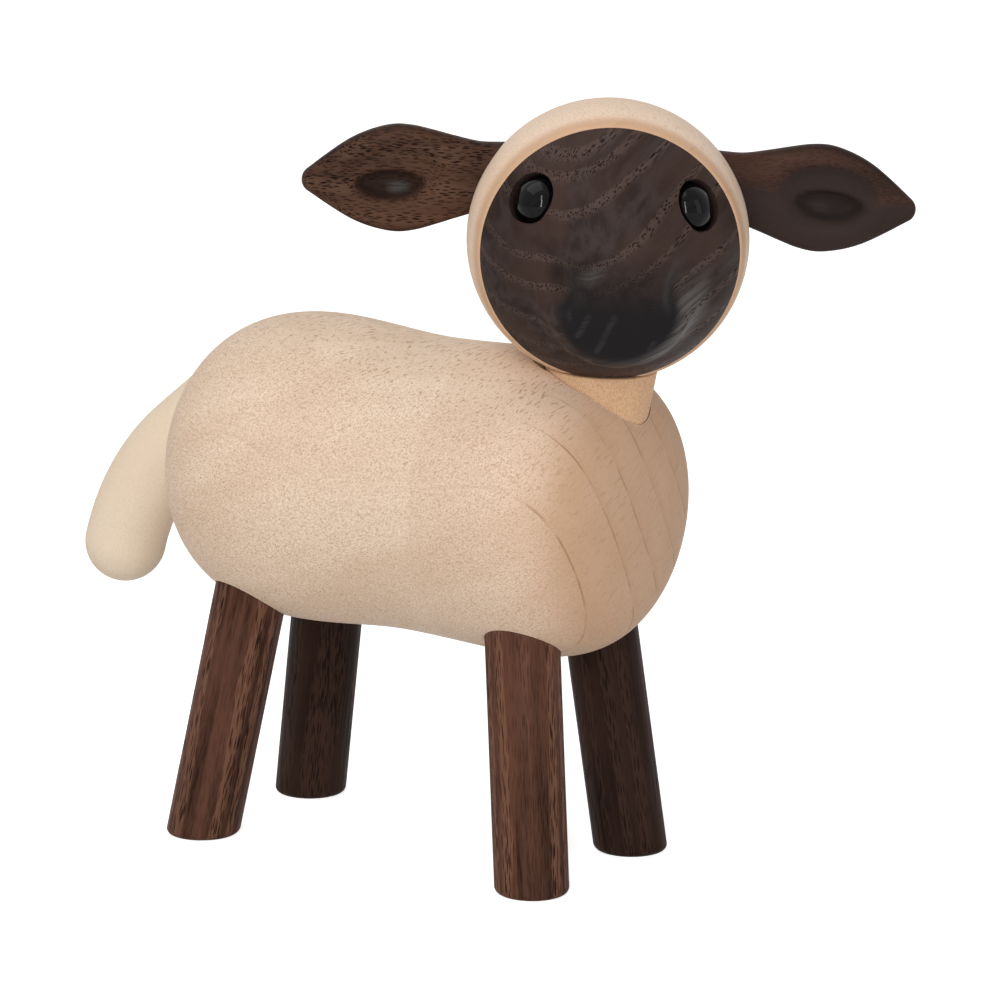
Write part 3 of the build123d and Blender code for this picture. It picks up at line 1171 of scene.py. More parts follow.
@dataclass
class Tail:
    """A bent finger of wood with a round end, swept along its path by Geometry Nodes."""

    stance: Stance
    radius: float = 5.7
    root_above_axis: float = 4.4
    root_inset: float = 0.5
    root_angle: float = 51.0
    tip_angle: float = 15.0
    bend_radius: float = 31.5
    tenon: float = 9.0
    straight: float = 5.0
    tip_radius: float = 0.002
    sides: int = 120
    weld: float = 0.00001

    def way_out(self) -> Array:
        """Direction in which the tail leaves the body."""
        a = math.radians(self.root_angle)
        return np.array([-math.sin(a), 0, -math.cos(a)])

    def start(self) -> Array:
        """Inner end of the tail's tenon."""
        barrel = self.stance.barrel()
        back = self.stance.rear_length - self.root_inset
        root = barrel.origin - barrel.z * back + barrel.x * self.root_above_axis
        return root - self.way_out() * self.tenon

    def path(self) -> tuple[Array, Array]:
        """Points along the tail's middle line and the radius at each."""
        a0, a1 = math.radians(self.root_angle), math.radians(self.tip_angle)
        bend = self.start() + self.way_out() * (self.tenon + self.straight)
        lengths = np.linspace(0, self.tenon + self.straight, 40)
        points = [self.start() + self.way_out() * s for s in lengths]
        radii = [self.radius] * len(points)
        normal = np.array([math.cos(a0), 0, -math.sin(a0)])
        centre = bend + normal * self.bend_radius
        for a in np.linspace(a0, a1, 60)[1:]:
            points.append(centre + self.bend_radius * np.array([-math.cos(a), 0, math.sin(a)]))
            radii.append(self.radius)
        tip = points[-1]
        down = np.array([-math.sin(a1), 0, -math.cos(a1)])
        for t in np.linspace(0, QUARTER, 40)[1:]:
            points.append(tip + down * self.radius * math.sin(t))
            radii.append(max(self.radius * math.cos(t), self.tip_radius))
        return np.array(points), np.array(radii)

    def tree(self) -> NodeTree:
        """Geometry Nodes tree: a round section swept along a curve, as thick as the curve's radius."""
        s, given, out = start_group(
            "swept_tail",
            "GeometryNodeTree",
            {"Geometry": ("Geometry",), "Int": ("Sides",), "Material": ("Finish",)},
            {"Geometry": ("Geometry",)},
        )
        ring = s.node("GeometryNodeCurvePrimitiveCircle", mode="RADIUS")
        s.fill(ring, Resolution=given["Sides"], Radius=1.0)
        sweep = s.fill(
            s.node("GeometryNodeCurveToMesh"),
            Curve=given["Geometry"],
            Profile_Curve=ring.outputs["Curve"],
            Scale=s.node("GeometryNodeInputRadius").outputs[0],
            Fill_Caps=True,
        )
        s.fill(out, Geometry=dressed(s, sweep.outputs[0], given["Finish"]))
        return s.tree

    def build(self, material: Material) -> Object:
        """Sweep the tail.

        Args:
            material: Its finish.

        Returns:
            The tail.
        """
        points, radii = self.path()
        line = bpy.data.curves.new("tail_path", "CURVE")
        line.dimensions = "3D"
        spline = line.splines.new("POLY")
        spline.points.add(len(points) - 1)
        for place, point, radius in zip(spline.points, points * MM, radii * MM):
            place.co = (*point, 1.0)
            place.radius = float(radius)
        tail = grown("bent_tail", self.tree(), {"Sides": self.sides, "Finish": material}, line)
        face_outwards(tail.data, self.weld)
        crisp(tail, degrees=45)
        pith = points[len(points) // 2] + np.array([0, 34.0, 12.0])
        mark_grain(tail, axes_along(pith, (0.55, 0.1, 0.83), (0, -1, 0)))
        return place_piece(tail, Body.SHEEP, "tail", material)


@dataclass
class Head:
    """The ball, and the face with its muzzle and eyes."""

    stance: Stance
    rim_rounding: float = 0.8
    face_pitch: float = 4.8
    seat_from_centre: float = 7.3
    face_step: float = 0.15
    muzzle_drop: float = 13.8
    muzzle_swing: float = 3.6
    muzzle_root: float = 15.5
    muzzle_reach: float = 21.6
    muzzle_root_radius: float = 10.1
    muzzle_end_radius: float = 9.2
    muzzle_edge: float = 2.0
    muzzle_soft_edge: float = 5.5
    muzzle_dome: float = 60.0
    muzzle_blend: float = 2.2
    bridge_radius: float = 6.4
    bridge_blend: float = 3.6
    brow_elevation: float = 35.0
    brow_inset: float = 0.15
    nose_inset: float = 0.3
    nose_rise: float = 3.4
    cheek_depth: float = 0.95
    cheek_swing: float = 4.0
    cheek_radius: float = 5.0
    cheek_blend: float = 2.4
    cheek_inner: tuple[float, float] = (-6.0, 26.6)
    cheek_outer: tuple[float, float] = (9.0, 36.0)
    cheek_end: float = 3.9
    # Strengths of the painted highlights round the muzzle and on the nose, and of the pale marks on the pad.
    edge_sheen: float = 0.85
    nose_sheen: float = 0.3
    mark_sheen: float = 0.12
    ring_drift: float = 2.4
    back_rings: tuple[float, ...] = (0.985, 0.9, 0.7, 0.45, 0.2)
    eye_radius: float = 3.0
    eye_height: float = 2.2
    eye_flat: float = 1.2
    eye_rise: float = 0.5
    socket_radius: float = 3.4
    socket_ease: float = 0.15
    eye_elevation: float = 24.0
    eye_azimuth: float = 41.0
    pad_marks: tuple[tuple[tuple[float, float], tuple[float, float]], ...] = (
        ((-7.1, -0.9), (-6.6, -1.9)),
        ((-4.3, -1.2), (-5.4, -4.2)),
        ((-1.0, -1.0), (-2.8, -6.4)),
        ((4.4, -4.9), (3.9, -5.8)),
    )

    def face_radius(self) -> float:
        """Radius of the dark cap, a step inside the ball's."""
        return self.stance.ball_radius - self.face_step

    def face_axes(self) -> Axes:
        """Head's middle, with the third axis out of the face and the first up."""
        head = self.stance.head()
        out = head.out(heading(-self.face_pitch)) - head.origin
        return axes_along(head.origin, out, head.z)

    def eye_axes(self, side: Side) -> Axes:
        """Widest level of a bead, with the third axis out of its socket."""
        head = self.stance.head()
        out = head.out(heading(self.eye_elevation, side.value * self.eye_azimuth)) - head.origin
        return axes_along(head.origin + out * self.eye_distance(), out, head.z)

    def eye_distance(self) -> float:
        """How far a bead's widest level is from the head's middle."""
        return self.face_radius() + self.eye_rise - self.eye_height

    def socket_tool(self, side: Side) -> Object:
        """Cutter for an eye socket: a bore with a slightly eased mouth."""
        wide, ease, mouth = self.socket_radius, self.socket_ease, self.socket_mouth()
        lip = arc((0, QUARTER), 7, up=ease, out=-ease, height=mouth - ease, radius=wide + ease)
        floor = [(-self.eye_flat, 0), (-self.eye_flat, 2.8), (-0.2, wide)]
        top = [(mouth + 3, wide + ease + 0.02), (mouth + 3, 0)]
        return turned("socket", self.eye_axes(side), np.vstack([floor, lip, top]), columns=96)

    def flat_tool(self) -> Object:
        """Cutter for the flat under the head."""
        drop = self.stance.flat_drop()
        return turned("flat", self.stance.head(), rod(-drop, -drop - 12, 30), columns=24)

    def trim(self, obj: Object) -> None:
        """Cut the flat under the head and both eye sockets out of a piece."""
        cut(obj, [self.flat_tool(), *(self.socket_tool(side) for side in Side)])

    def build_ball(self, material: Material) -> Object:
        """Turn the ball, with its rounded rim and its flat.

        Args:
            material: Its finish.

        Returns:
            The ball.
        """
        big, small, seat = self.stance.ball_radius, self.rim_rounding, self.seat_from_centre
        rim_x = seat - small
        rim_r = math.sqrt((big - small) ** 2 - rim_x**2)
        end = math.atan2(rim_x, rim_r)
        ball = arc((-QUARTER, end), 150, up=big, out=big)
        rim = arc((end, QUARTER), 12, up=small, out=small, height=rim_x, radius=rim_r)[1:]
        front = disc(seat, rim_r, 0, 12)[1:]
        obj = turned("head_ball_maple", self.face_axes(), np.vstack([ball, rim, front]), columns=260)
        self.trim(obj)
        crisp(obj, degrees=35)
        head = self.stance.head()
        block = axes_along(head.out((-4.0, 30.0, -26.0)), head.out((1, 0.1, 0.25)) - head.origin, head.z)
        mark_grain(obj, block)
        # Painted shade: a warm, darker band round the rim next to the face.
        out = self.face_axes().into(corners(obj))[:, 2]
        mark_value(obj, END_GRAIN_AND_SHADE, smooth(seat - 3.4, seat - 0.2, out))
        return place_piece(obj, Body.HEAD, "head_ball", material)

    def muzzle_ways(self) -> tuple[Array, Array, Array]:
        """Directions on the head's axes: out along the muzzle, up across it and to its left."""
        axis = heading(-self.muzzle_drop, self.muzzle_swing)
        left = unit(np.cross((0, 0, 1), axis))
        return axis, np.cross(axis, left), left

    def face_field(self, p: Array) -> Array:
        """How far points on the head's axes are outside the face, negative inside.

        Args:
            p: Points by 3: front, left, up.

        Returns:
            One value for each point.
        """
        axis, up, left = self.muzzle_ways()
        a, v, w = p @ axis, p @ up, p @ left
        radius, bridge = self.face_radius(), self.bridge_radius
        ball = np.linalg.norm(p, axis=1) - radius
        off = np.hypot(v, w)
        share = np.clip((a - self.muzzle_root) / (self.muzzle_reach - self.muzzle_root), 0, 1.2)
        wide = self.muzzle_root_radius + (self.muzzle_end_radius - self.muzzle_root_radius) * share
        dome = self.muzzle_reach - off**2 / self.muzzle_dome
        soft = smooth(-0.25, 0.85, v / np.maximum(off, 0.01))
        e = self.muzzle_edge + (self.muzzle_soft_edge - self.muzzle_edge) * soft
        front, wall = a - dome + e, off - wide + e
        corner = np.hypot(np.maximum(front, 0), np.maximum(wall, 0))
        stub = corner + np.minimum(np.maximum(front, wall), 0) - e
        brow = heading(self.brow_elevation) * (radius - bridge - self.brow_inset)
        nose = axis * (self.muzzle_reach - bridge - self.nose_inset) + up * self.nose_rise
        ridge = segment_gap(p, brow, nose)[0] - bridge
        solid = blend_min(ball, stub, self.muzzle_blend)
        deepest = radius + self.cheek_radius - self.cheek_depth
        (low, near), (high, far) = self.cheek_inner, self.cheek_outer
        for side in Side:
            inner = heading(low, self.cheek_swing + side.value * near) * deepest
            outer = heading(high, self.cheek_swing + side.value * far) * (radius + self.cheek_end)
            gap, along = segment_gap(p, inner, outer)
            solid = blend_max(solid, self.cheek_radius - along - gap, self.cheek_blend)
        return blend_min(solid, ridge, self.bridge_blend)

    def pad_wear_and_shade(self, p: Array) -> Array:
        """How much points on the head's axes belong to the pad at the end of the muzzle: worn smooth with
        fewer open pores, and painted dark for its shade.
        """
        a, v, w = (p @ way for way in self.muzzle_ways())
        wide = self.muzzle_end_radius
        inside = 1 - smooth(wide - 1.7, wide - 0.1, np.hypot(v, w))
        return inside * (1 - smooth(-2.0, 9.0, v)) * smooth(16.5, 18.5, a)

    def highlight_and_marks_share(self, p: Array) -> Array:
        """Painted highlight on the edge round the muzzle and on the shoulder of the nose, and a few pale
        marks on the pad.
        """
        a, v, w = (p @ way for way in self.muzzle_ways())
        off, wide = np.hypot(v, w), self.muzzle_end_radius
        around = np.degrees(np.arctan2(w, -v))
        band = smooth(wide - 2.3, wide - 0.7, off) * (1 - smooth(wide + 1.0, wide + 4.0, off))
        sides = smooth(-40, 20, around) * (1 - smooth(72, 112, around)) * (0.3 + 0.7 * smooth(10, 45, around))
        aside, above = p[:, 1] + 3.0, p[:, 2] + 1.0
        shoulder = np.hypot(0.6 * aside + 0.45 * above, 1.1 * above - 0.7 * aside)
        sheen = self.nose_sheen * (1 - smooth(0.2, 1.9, shoulder))
        pale = np.maximum(self.edge_sheen * band * sides, sheen)
        for start, end in self.pad_marks:
            gap = segment_gap(np.stack([w, v], axis=1), start, end)[0]
            mark = self.mark_sheen * (1 - smooth(0.1, 0.6, gap)) * smooth(19.0, 20.0, a)
            pale = np.maximum(pale, mark)
        return pale

    def pit_share(self, p: Array) -> Array:
        """Where shade gathers in the hollow beside the nose, in a crease above it and on one cheek."""
        pit = np.linalg.norm(p - heading(-6.2, -22.3) * 17.5, axis=1)
        crease = np.linalg.norm((p - heading(5.0, -29.0) * 18.2) / np.array([1.0, 2.6, 1.3]), axis=1)
        shades = (
            0.5 * (1 - smooth(0.4, 3.0, pit)),
            0.3 * (1 - smooth(0.2, 1.4, crease)),
            0.16 * smooth(7.0, 13.0, -p[:, 1]),
        )
        return np.max(shades, axis=0)

    def socket_mouth(self) -> float:
        """Height of a socket's mouth above the bead's widest level."""
        return math.sqrt(self.face_radius() ** 2 - self.socket_radius**2) - self.eye_distance()

    def socket_shade(self, side: Side, points: Array) -> Array:
        """Where the wood lies inside an eye socket, which is painted in shade."""
        local, mouth = self.eye_axes(side).into(points), self.socket_mouth()
        off = np.hypot(local[:, 0], local[:, 1])
        near = 1 - smooth(self.socket_radius + 0.05, self.socket_radius + 0.12, off)
        return near * (1 - smooth(mouth - 0.5, mouth - 0.05, local[:, 2]))

    def face_surface(self, rows: int = 230, columns: int = 360, rounds: int = 90) -> Array:
        """Rings of points on the face's front, from its middle to its rim, on the head's axes.

        Args:
            rows: How many rings.
            columns: Points round each ring.
            rounds: How often each point is moved nearer to the surface.

        Returns:
            An array of rows by columns by 3.
        """
        innermost, outside, pace = 0.006, 26.0, 0.8
        edge = math.acos(self.seat_from_centre / self.face_radius())
        polar = np.linspace(innermost, edge, rows)
        turn = np.linspace(0, 2 * math.pi, columns, endpoint=False)
        head, face = self.stance.head(), self.face_axes()
        grid = np.stack(
            [
                np.sin(polar)[:, None] * np.cos(turn),
                np.sin(polar)[:, None] * np.sin(turn),
                np.repeat(np.cos(polar)[:, None], columns, axis=1),
            ],
            axis=-1,
        ).reshape(-1, 3)
        ways = head.into(face.out(grid))
        reach = np.full(len(ways), outside)
        for _ in range(rounds):
            reach -= pace * self.face_field(ways * reach[:, None])
        return (ways * reach[:, None]).reshape(rows, columns, 3)

    def build_face(self, material: Material) -> Object:
        """Carve the face and bore its eye sockets.

        Args:
            material: Its finish.

        Returns:
            The face.
        """
        head, face = self.stance.head(), self.face_axes()
        front = head.out(self.face_surface())
        rim = face.into(front[-1])
        backs = []
        for share in self.back_rings:
            ring = rim * np.array([share, share, 1.0])
            ring[:, 2] = self.seat_from_centre
            backs.append(face.out(ring))
        rings = np.concatenate([front, np.array(backs)])
        tip = face.out(face.into(front[0]).mean(axis=0))
        obj = skin("oak_face", rings, tip, face.out((0, 0, self.seat_from_centre)))
        self.trim(obj)
        crisp(obj, degrees=38)
        pith = head.out((0.0, 0.24, 37.0))
        grain = head.out(heading(-20.9, -29.5)) - head.origin
        spots = head.into(corners(obj))
        drift = self.ring_drift * smooth(2.0, 11.0, spots[:, 2])
        mark_grain(obj, axes_along(pith, grain, head.y), drift)
        # The pad is worn smooth, and its dark tone is painted shade.
        mark_value(obj, WEAR_AND_SHADE, self.pad_wear_and_shade(spots))
        # Painted highlight and reflection round the muzzle and on the nose, with pale marks on the pad.
        mark_value(obj, HIGHLIGHT_AND_MARKS, self.highlight_and_marks_share(spots))
        # Painted shade: the walls of the eye sockets and the hollows beside the nose are darkened in the
        # colour.
        sockets = np.maximum(*(self.socket_shade(side, corners(obj)) for side in Side))
        mark_value(obj, PAINTED_SHADE, np.maximum(sockets, self.pit_share(spots)))
        return place_piece(obj, Body.HEAD, "face", material)

    def build_eye(self, side: Side, material: Material) -> Object:
        """Make one bead with a flat back.

        Args:
            side: Which eye.
            material: Its finish.

        Returns:
            The bead.
        """
        start = -math.asin(self.eye_flat / self.eye_height)
        bead = arc((start, QUARTER), 60, up=self.eye_height, out=self.eye_radius)
        back = disc(-self.eye_flat, 0, bead[0, 1], 8)[:-1]
        name = side.name.lower()
        obj = turned(f"{name}_eye_bead", self.eye_axes(side), np.vstack([back, bead]), columns=96)
        crisp(obj, degrees=50)
        return place_piece(obj, Body.HEAD, f"{name}_eye", material)


@dataclass
class Ears:
    """Two leaf-shaped ears with a hollow in two levels."""

    stance: Stance
    rise: float = 7.2
    setback: float = 2.6
    length: float = 23.54
    thickness: float = 5.0
    seat: float = 0.05
    tip_radius: float = 1.7
    wide_depth: float = 0.85
    small_depth: float = 1.1
    wide_shade: float = 0.08
    small_shade: float = 0.4
    root_shade: float = 0.36
    rows: int = 200
    columns: int = 200
    pith_front: float = 16.0
    pith_rise: dict[Side, float] = field(default_factory=lambda: {Side.RIGHT: 17.0, Side.LEFT: 24.0})
    droop: dict[Side, float] = field(default_factory=lambda: {Side.RIGHT: 3.6, Side.LEFT: 5.1})
    # Strength of the painted highlight in each ear's hollow.
    glow: dict[Side, float] = field(default_factory=lambda: {Side.RIGHT: 0.85, Side.LEFT: 0.2})
    stations: tuple[float, ...] = (-3.0, 0.0, 3.4, 6.3, 8.6, 11.0, 14.0, 17.0, 20.0, 22.74)
    half_widths: tuple[float, ...] = (4.4, 4.55, 5.4, 6.25, 6.85, 7.1, 6.55, 5.35, 3.45, 1.45)
    scoop_middles: tuple[tuple[float, float], ...] = ((11.7, 0.1), (12.0, -0.85))
    scoop_reaches: tuple[tuple[float, float], ...] = ((8.0, 5.1), (5.6, 2.4))

    def leaf(self, side: Side) -> Axes:
        """Middle of an ear's root: along the ear, up across it, and out of its hollow."""
        head = self.stance.head()
        out = math.sqrt(self.stance.ball_radius**2 - self.rise**2 - self.setback**2)
        root = head.out((-self.setback, side.value * out, self.rise))
        a = math.radians(self.droop[side])
        along = head.y * (side.value * math.cos(a)) - head.z * math.sin(a)
        across = head.y * (side.value * math.sin(a)) + head.z * math.cos(a)
        return Axes(root, along, across, head.x)

    def half_width(self, s: Array) -> Array:
        """Half the leaf's width at lengths along it, with a round tip."""
        x, h = np.array(self.stations), np.array(self.half_widths)
        slopes = np.gradient(h, x)
        i = np.clip(np.searchsorted(x, s) - 1, 0, len(x) - 2)
        gap = x[i + 1] - x[i]
        t = np.clip((s - x[i]) / gap, 0, 1)
        eased = (
            h[i] * (1 + 2 * t) * (1 - t) ** 2
            + slopes[i] * gap * t * (1 - t) ** 2
            + h[i + 1] * t**2 * (3 - 2 * t)
            - slopes[i + 1] * gap * t**2 * (1 - t)
        )
        past = np.maximum(s - (self.length - self.tip_radius), 0)
        tip = np.sqrt(np.maximum(self.tip_radius**2 - past**2, 0))
        return np.where(s > self.stations[-1], tip, eased)

    def scoops(self, s: Array, w: Array) -> tuple[Array, Array]:
        """Shares of the wide scoop and of the smaller one in it, at places on the ear's front."""
        shares = []
        for middle, reach in zip(self.scoop_middles, self.scoop_reaches):
            off = np.hypot((s - middle[0]) / reach[0], (w - middle[1]) / reach[1])
            upper = smooth(-0.35, 0.35, (w - middle[1]) / reach[1])
            shares.append(1 - smooth(0.3 + 0.32 * upper, 1.0, off))
        return shares[0], shares[1]

    def root_start(self, leaf: Axes, across: Array, deep: Array) -> Array:
        """Where the ear's first ring meets the ball, as lengths along the ear.

        Args:
            leaf: The ear's axes.
            across: The section's places across the ear, from -1 to 1.
            deep: The section's places through the ear, from -1 to 1.

        Returns:
            One length for each point of the ring.
        """
        centre = self.stance.head().origin
        start = np.zeros(len(across))
        for _ in range(4):
            ring = np.stack([start, self.half_width(start) * across, self.thickness / 2 * deep], axis=-1)
            away = leaf.out(ring) - centre
            along = away @ leaf.x
            square = along**2 + self.root_reach() ** 2 - np.linalg.norm(away, axis=-1) ** 2
            start = start - along + np.sqrt(np.maximum(square, 0))
        return start

    def root_reach(self) -> float:
        """How far the ear's root is from the ball's middle."""
        return self.stance.ball_radius + self.seat

    def build(self, side: Side, material: Material) -> Object:
        """Carve one ear.

        Args:
            side: Which ear.
            material: Its finish.

        Returns:
            The ear.
        """
        leaf, centre = self.leaf(side), self.stance.head().origin
        stations = self.length * (1 - (1 - np.linspace(0, 1, self.rows)) ** 1.35)
        stations = np.minimum(stations, self.length - 0.004)
        turn = np.linspace(0, 2 * math.pi, self.columns, endpoint=False)
        across, deep = (np.sign(c) * np.abs(c) ** (2 / 3.0) for c in (np.cos(turn), np.sin(turn)))
        start = self.root_start(leaf, across, deep)
        s = stations[:, None] + start[None, :] * (1 - smooth(0.0, 6.0, stations))[:, None]
        half = np.maximum(self.half_width(s), 0.05)
        thick = self.thickness / 2 * (1 - 0.35 * smooth(14.0, self.length, s))
        thick = np.minimum(thick, half * 1.05 + 0.25)
        w = half * across
        wide, small = self.scoops(s, w)
        open_front = smooth(0.0, 0.6, deep)[None, :]
        front = thick * deep - (self.wide_depth * wide + self.small_depth * small) * open_front
        points = leaf.out(np.stack([s, w, front], axis=-1))
        root = centre + unit(points[0].mean(axis=0) - centre) * self.root_reach()
        name = side.name.lower()
        obj = skin(f"{name}_leaf_ear", points, root, leaf.out((self.length, 0, 0)))
        crisp(obj, degrees=70)
        pith = leaf.out((0, self.pith_rise[side], self.pith_front))
        mark_grain(obj, axes_along(pith, leaf.x + leaf.y * 0.05, leaf.y))
        hollow, pocket = smooth(0.15, 0.5, wide), smooth(0.1, 0.55, small)
        # Painted shade: the rounded edges, the two hollows and the root are darkened in the colour.
        rim = (0.4 + 0.25 * smooth(13.0, 21.0, s)) * smooth(0.86, 0.99, np.abs(across))
        shade = np.maximum(rim, (self.wide_shade * hollow + self.small_shade * pocket) * open_front)
        shade = np.maximum(shade, self.root_shade * (1 - smooth(0.0, 5.5, s)))
        # Painted shade with fewer pores: the shaded ear's hollow and lower half, and the other ear's small
        # pocket, take the darker colour of wear and shade.
        plain = 0.6 * pocket if side is Side.RIGHT else 0.85 * np.maximum(hollow, 1 - smooth(-0.5, 1.5, w))
        # Painted highlight: a pale spot in the hollow.
        glow = 1 - smooth(0.1, 1.0, np.hypot((s - 11.0) / 2.2, (w + 1.1) / 1.2))
        for mark, values, tip in (
            (PAINTED_SHADE, shade, 0.4),
            (WEAR_AND_SHADE, plain * open_front, 0.0),
            (HIGHLIGHT_AND_MARKS, self.glow[side] * glow * open_front, 0.0),
        ):
            mark_value(obj, mark, np.append(values.ravel(), (0.0, tip)))
        return place_piece(obj, Body.HEAD, f"{name}_ear", material)


# Studio


@dataclass
class Studio:
    """White sweep, soft boxes and even light from all round, in metres and watts."""

    floor_colour: float = 0.8
    floor_lift: float = 0.78
    floor_reach: float = 6.0
    world_strength: float = 0.27
    aim: tuple[float, float, float] = (0, 0, 0.055)

    def build(self) -> None:
        """Make the floor, the lamps and the world."""
        self.floor()
        self.world()
        self.soft_box("main_box", (0.47, -0.82, 0.20), wide=0.09, tall=0.6, watts=4.0)
        self.soft_box("upper_box", (0.37, -0.72, 0.60), wide=0.1, tall=0.34, watts=1.5)
        self.soft_box("key_box", (-0.36, -0.32, 1.12), wide=1.0, tall=1.0, watts=5.9)
        self.soft_box("side_box", (0.85, 0.05, 0.35), wide=0.3, tall=0.7, watts=0.8)

    def white_rays(self, s: Sketch) -> NodeSocket:
        """1 for rays from the camera, off gloss or through glass, which see a white background."""
        path = s.node("ShaderNodeLightPath").outputs
        seen = s.math("MAXIMUM", path["Is Camera Ray"], path["Is Glossy Ray"])
        return s.math("MAXIMUM", seen, path["Is Transmission Ray"])

    def floor(self) -> None:
        """A wide pale floor that keeps the sheep's shadow."""
        mesh = bpy.data.meshes.new("floor")
        far = self.floor_reach
        mesh.from_pydata([(-far, -far, 0), (far, -far, 0), (far, far, 0), (-far, far, 0)], [], [(0, 1, 2, 3)])
        obj = linked("floor", mesh)
        material, s = bare_material("floor_white")
        diffuse = s.fill(s.node("ShaderNodeBsdfDiffuse"), Color=(self.floor_colour,) * 3)
        glow = s.fill(s.node("ShaderNodeEmission"), Strength=s.times(self.white_rays(s), self.floor_lift))
        both = s.node("ShaderNodeAddShader")
        s.plug(both.inputs[0], diffuse.outputs[0])
        s.plug(both.inputs[1], glow.outputs[0])
        s.fill(s.node("ShaderNodeOutputMaterial"), Surface=both.outputs[0])
        mesh.materials.append(material)

    def world(self) -> None:
        """White to the camera, and an even soft light for the rest."""
        world = bpy.data.worlds.new("studio")
        bpy.context.scene.world = world
        world.use_nodes = True
        world.node_tree.nodes.clear()
        s = Sketch(world.node_tree)
        lift = s.times(self.white_rays(s), 1 - self.world_strength)
        strength = s.math("ADD", lift, self.world_strength)
        back = s.fill(s.node("ShaderNodeBackground"), Color=(1, 1, 1), Strength=strength)
        s.fill(s.node("ShaderNodeOutputWorld"), Surface=back.outputs[0])

    def soft_box(self, name: str, place: Sequence[float], wide: float, tall: float, watts: float) -> None:
        """One soft box, aimed at the middle of the sheep."""
        lamp = bpy.data.lights.new(name, "AREA")
        lamp.shape = "RECTANGLE"
        lamp.size, lamp.size_y = wide, tall
        lamp.energy = watts
        obj = linked(name, lamp)
        obj.location = place
        obj.rotation_euler = (Vector(self.aim) - Vector(place)).to_track_quat("-Z", "Y").to_euler()


@dataclass
class Viewpoint:
    """The camera, at the photograph's angle and framing."""

    azimuth: float = 33.69
    elevation: float = 11.83
    distance: float = 687.6
    target_height: float = 50.0
    focal_pixels: float = 5078.5
    target_pixel: tuple[float, float] = (416.4, 483.8)
    frame_pixels: float = 1000.0
    sensor: float = 36.0

    def build(self) -> None:
        """Make the camera and set it as the scene's own."""
        a, e = math.radians(self.azimuth), math.radians(self.elevation)
        back = np.array([math.sin(a) * math.cos(e), -math.cos(a) * math.cos(e), math.sin(e)])
        right = np.array([math.cos(a), math.sin(a), 0])
        up = np.cross(back, right)
        middle = self.frame_pixels / 2
        aside = (middle - self.target_pixel[0]) / self.focal_pixels
        below = (middle - self.target_pixel[1]) / self.focal_pixels
        aim = unit(-back + right * aside - up * below)
        across = unit(right - aim * (right @ aim))
        rise = np.cross(across, aim)
        data = bpy.data.cameras.new("camera")
        data.sensor_width = self.sensor
        data.lens = self.focal_pixels / self.frame_pixels * self.sensor
        data.clip_start, data.clip_end = 0.01, 50
        obj = linked("camera", data)
        place = Vector((np.array([0, 0, self.target_height]) + back * self.distance) * MM)
        turn = Matrix((across, rise, -aim)).transposed()
        obj.matrix_world = Matrix.Translation(place) @ turn.to_4x4()
        bpy.context.scene.camera = obj


# Finishes of this sheep

FINE_FLECKS = {"Radial_Length": 2.2, "Thickness": 0.13, "Height": 0.26, "Amount": 0.6}
COARSE_FLECKS = {"Radial_Length": 7.0, "Thickness": 0.28, "Height": 0.5, "Amount": 0.56}
LEG_RINGS = (16.5, 19.0, 21.0, 23.5, 25.5, 28.0)

BODY_MAPLE = MapleFinish(
    "body_maple",
    pale=tone(237, 215, 193),
    deep=tone(217, 189, 162),
    line=tone(158, 116, 84),
    fleck=tone(184, 147, 115),
    end=tone(180, 134, 97),
    ring_radii=(39.8, 45.4, 50.6, 55.4, 61.9),
    mean_radius=55.0,
    line_strength=0.85,
    fleck_strength=0.78,
    patch_strength=0.55,
    end_and_shade_strength=0.7,
    silk_strength=0.58,
)
# Its end colour paints the shade round the rim next to the face.
BALL_MAPLE = MapleFinish(
    "ball_maple",
    pale=tone(237, 213, 191),
    deep=tone(224, 195, 166),
    line=tone(176, 132, 98),
    fleck=tone(196, 160, 128),
    end=tone(190, 140, 98),
    ring_radii=(22.0, 29.0, 35.0, 42.0, 50.0),
    mean_radius=40.0,
    line_strength=0.2,
    fleck_strength=0.4,
    patch_strength=0.35,
    end_and_shade_strength=0.7,
    silk_strength=0.3,
)
CREAM_MAPLE = MapleFinish(
    "cream_maple",
    pale=tone(236, 217, 194),
    deep=tone(226, 200, 169),
    line=tone(190, 148, 108),
    fleck=tone(214, 184, 150),
    end=tone(214, 182, 146),
    ring_radii=(24.0, 28.5, 33.0, 37.0, 42.5),
    mean_radius=34.0,
    line_strength=0.3,
    fleck_strength=0.25,
    patch_strength=0.3,
    end_and_shade_strength=0.3,
    silk_strength=0.3,
)
NECK_MAPLE = MapleFinish(
    "neck_maple",
    pale=tone(224, 184, 147),
    deep=tone(208, 166, 126),
    line=tone(160, 112, 76),
    fleck=tone(186, 138, 96),
    end=tone(214, 170, 128),
    ring_radii=(22.5, 29.5, 36.0),
    mean_radius=30.0,
    line_strength=0.5,
    fleck_strength=0.6,
    patch_strength=0.3,
    end_and_shade_strength=0.3,
    silk_strength=0.6,
)
FACE_OAK = OakFinish(
    "face_oak",
    dark=tone(45, 35, 32),
    mid=tone(62, 52, 50),
    warm=tone(66, 50, 44),
    pore=tone(14, 10, 9),
    glint=tone(104, 86, 79),
    # Dark tone of the worn pad, which paints its shade.
    wear_and_shade=tone(30, 28, 29),
    ring_radii=(18.0, 19.6, 22.7, 27.75, 31.2, 36.15, 40.5, 44.0, 47.5, 51.0),
    band_width=1.3,
    wander=0.3,
    scatter=0.02,
    pore_length=2.4,
    pore_width=0.25,
    glint_strength=0.32,
)
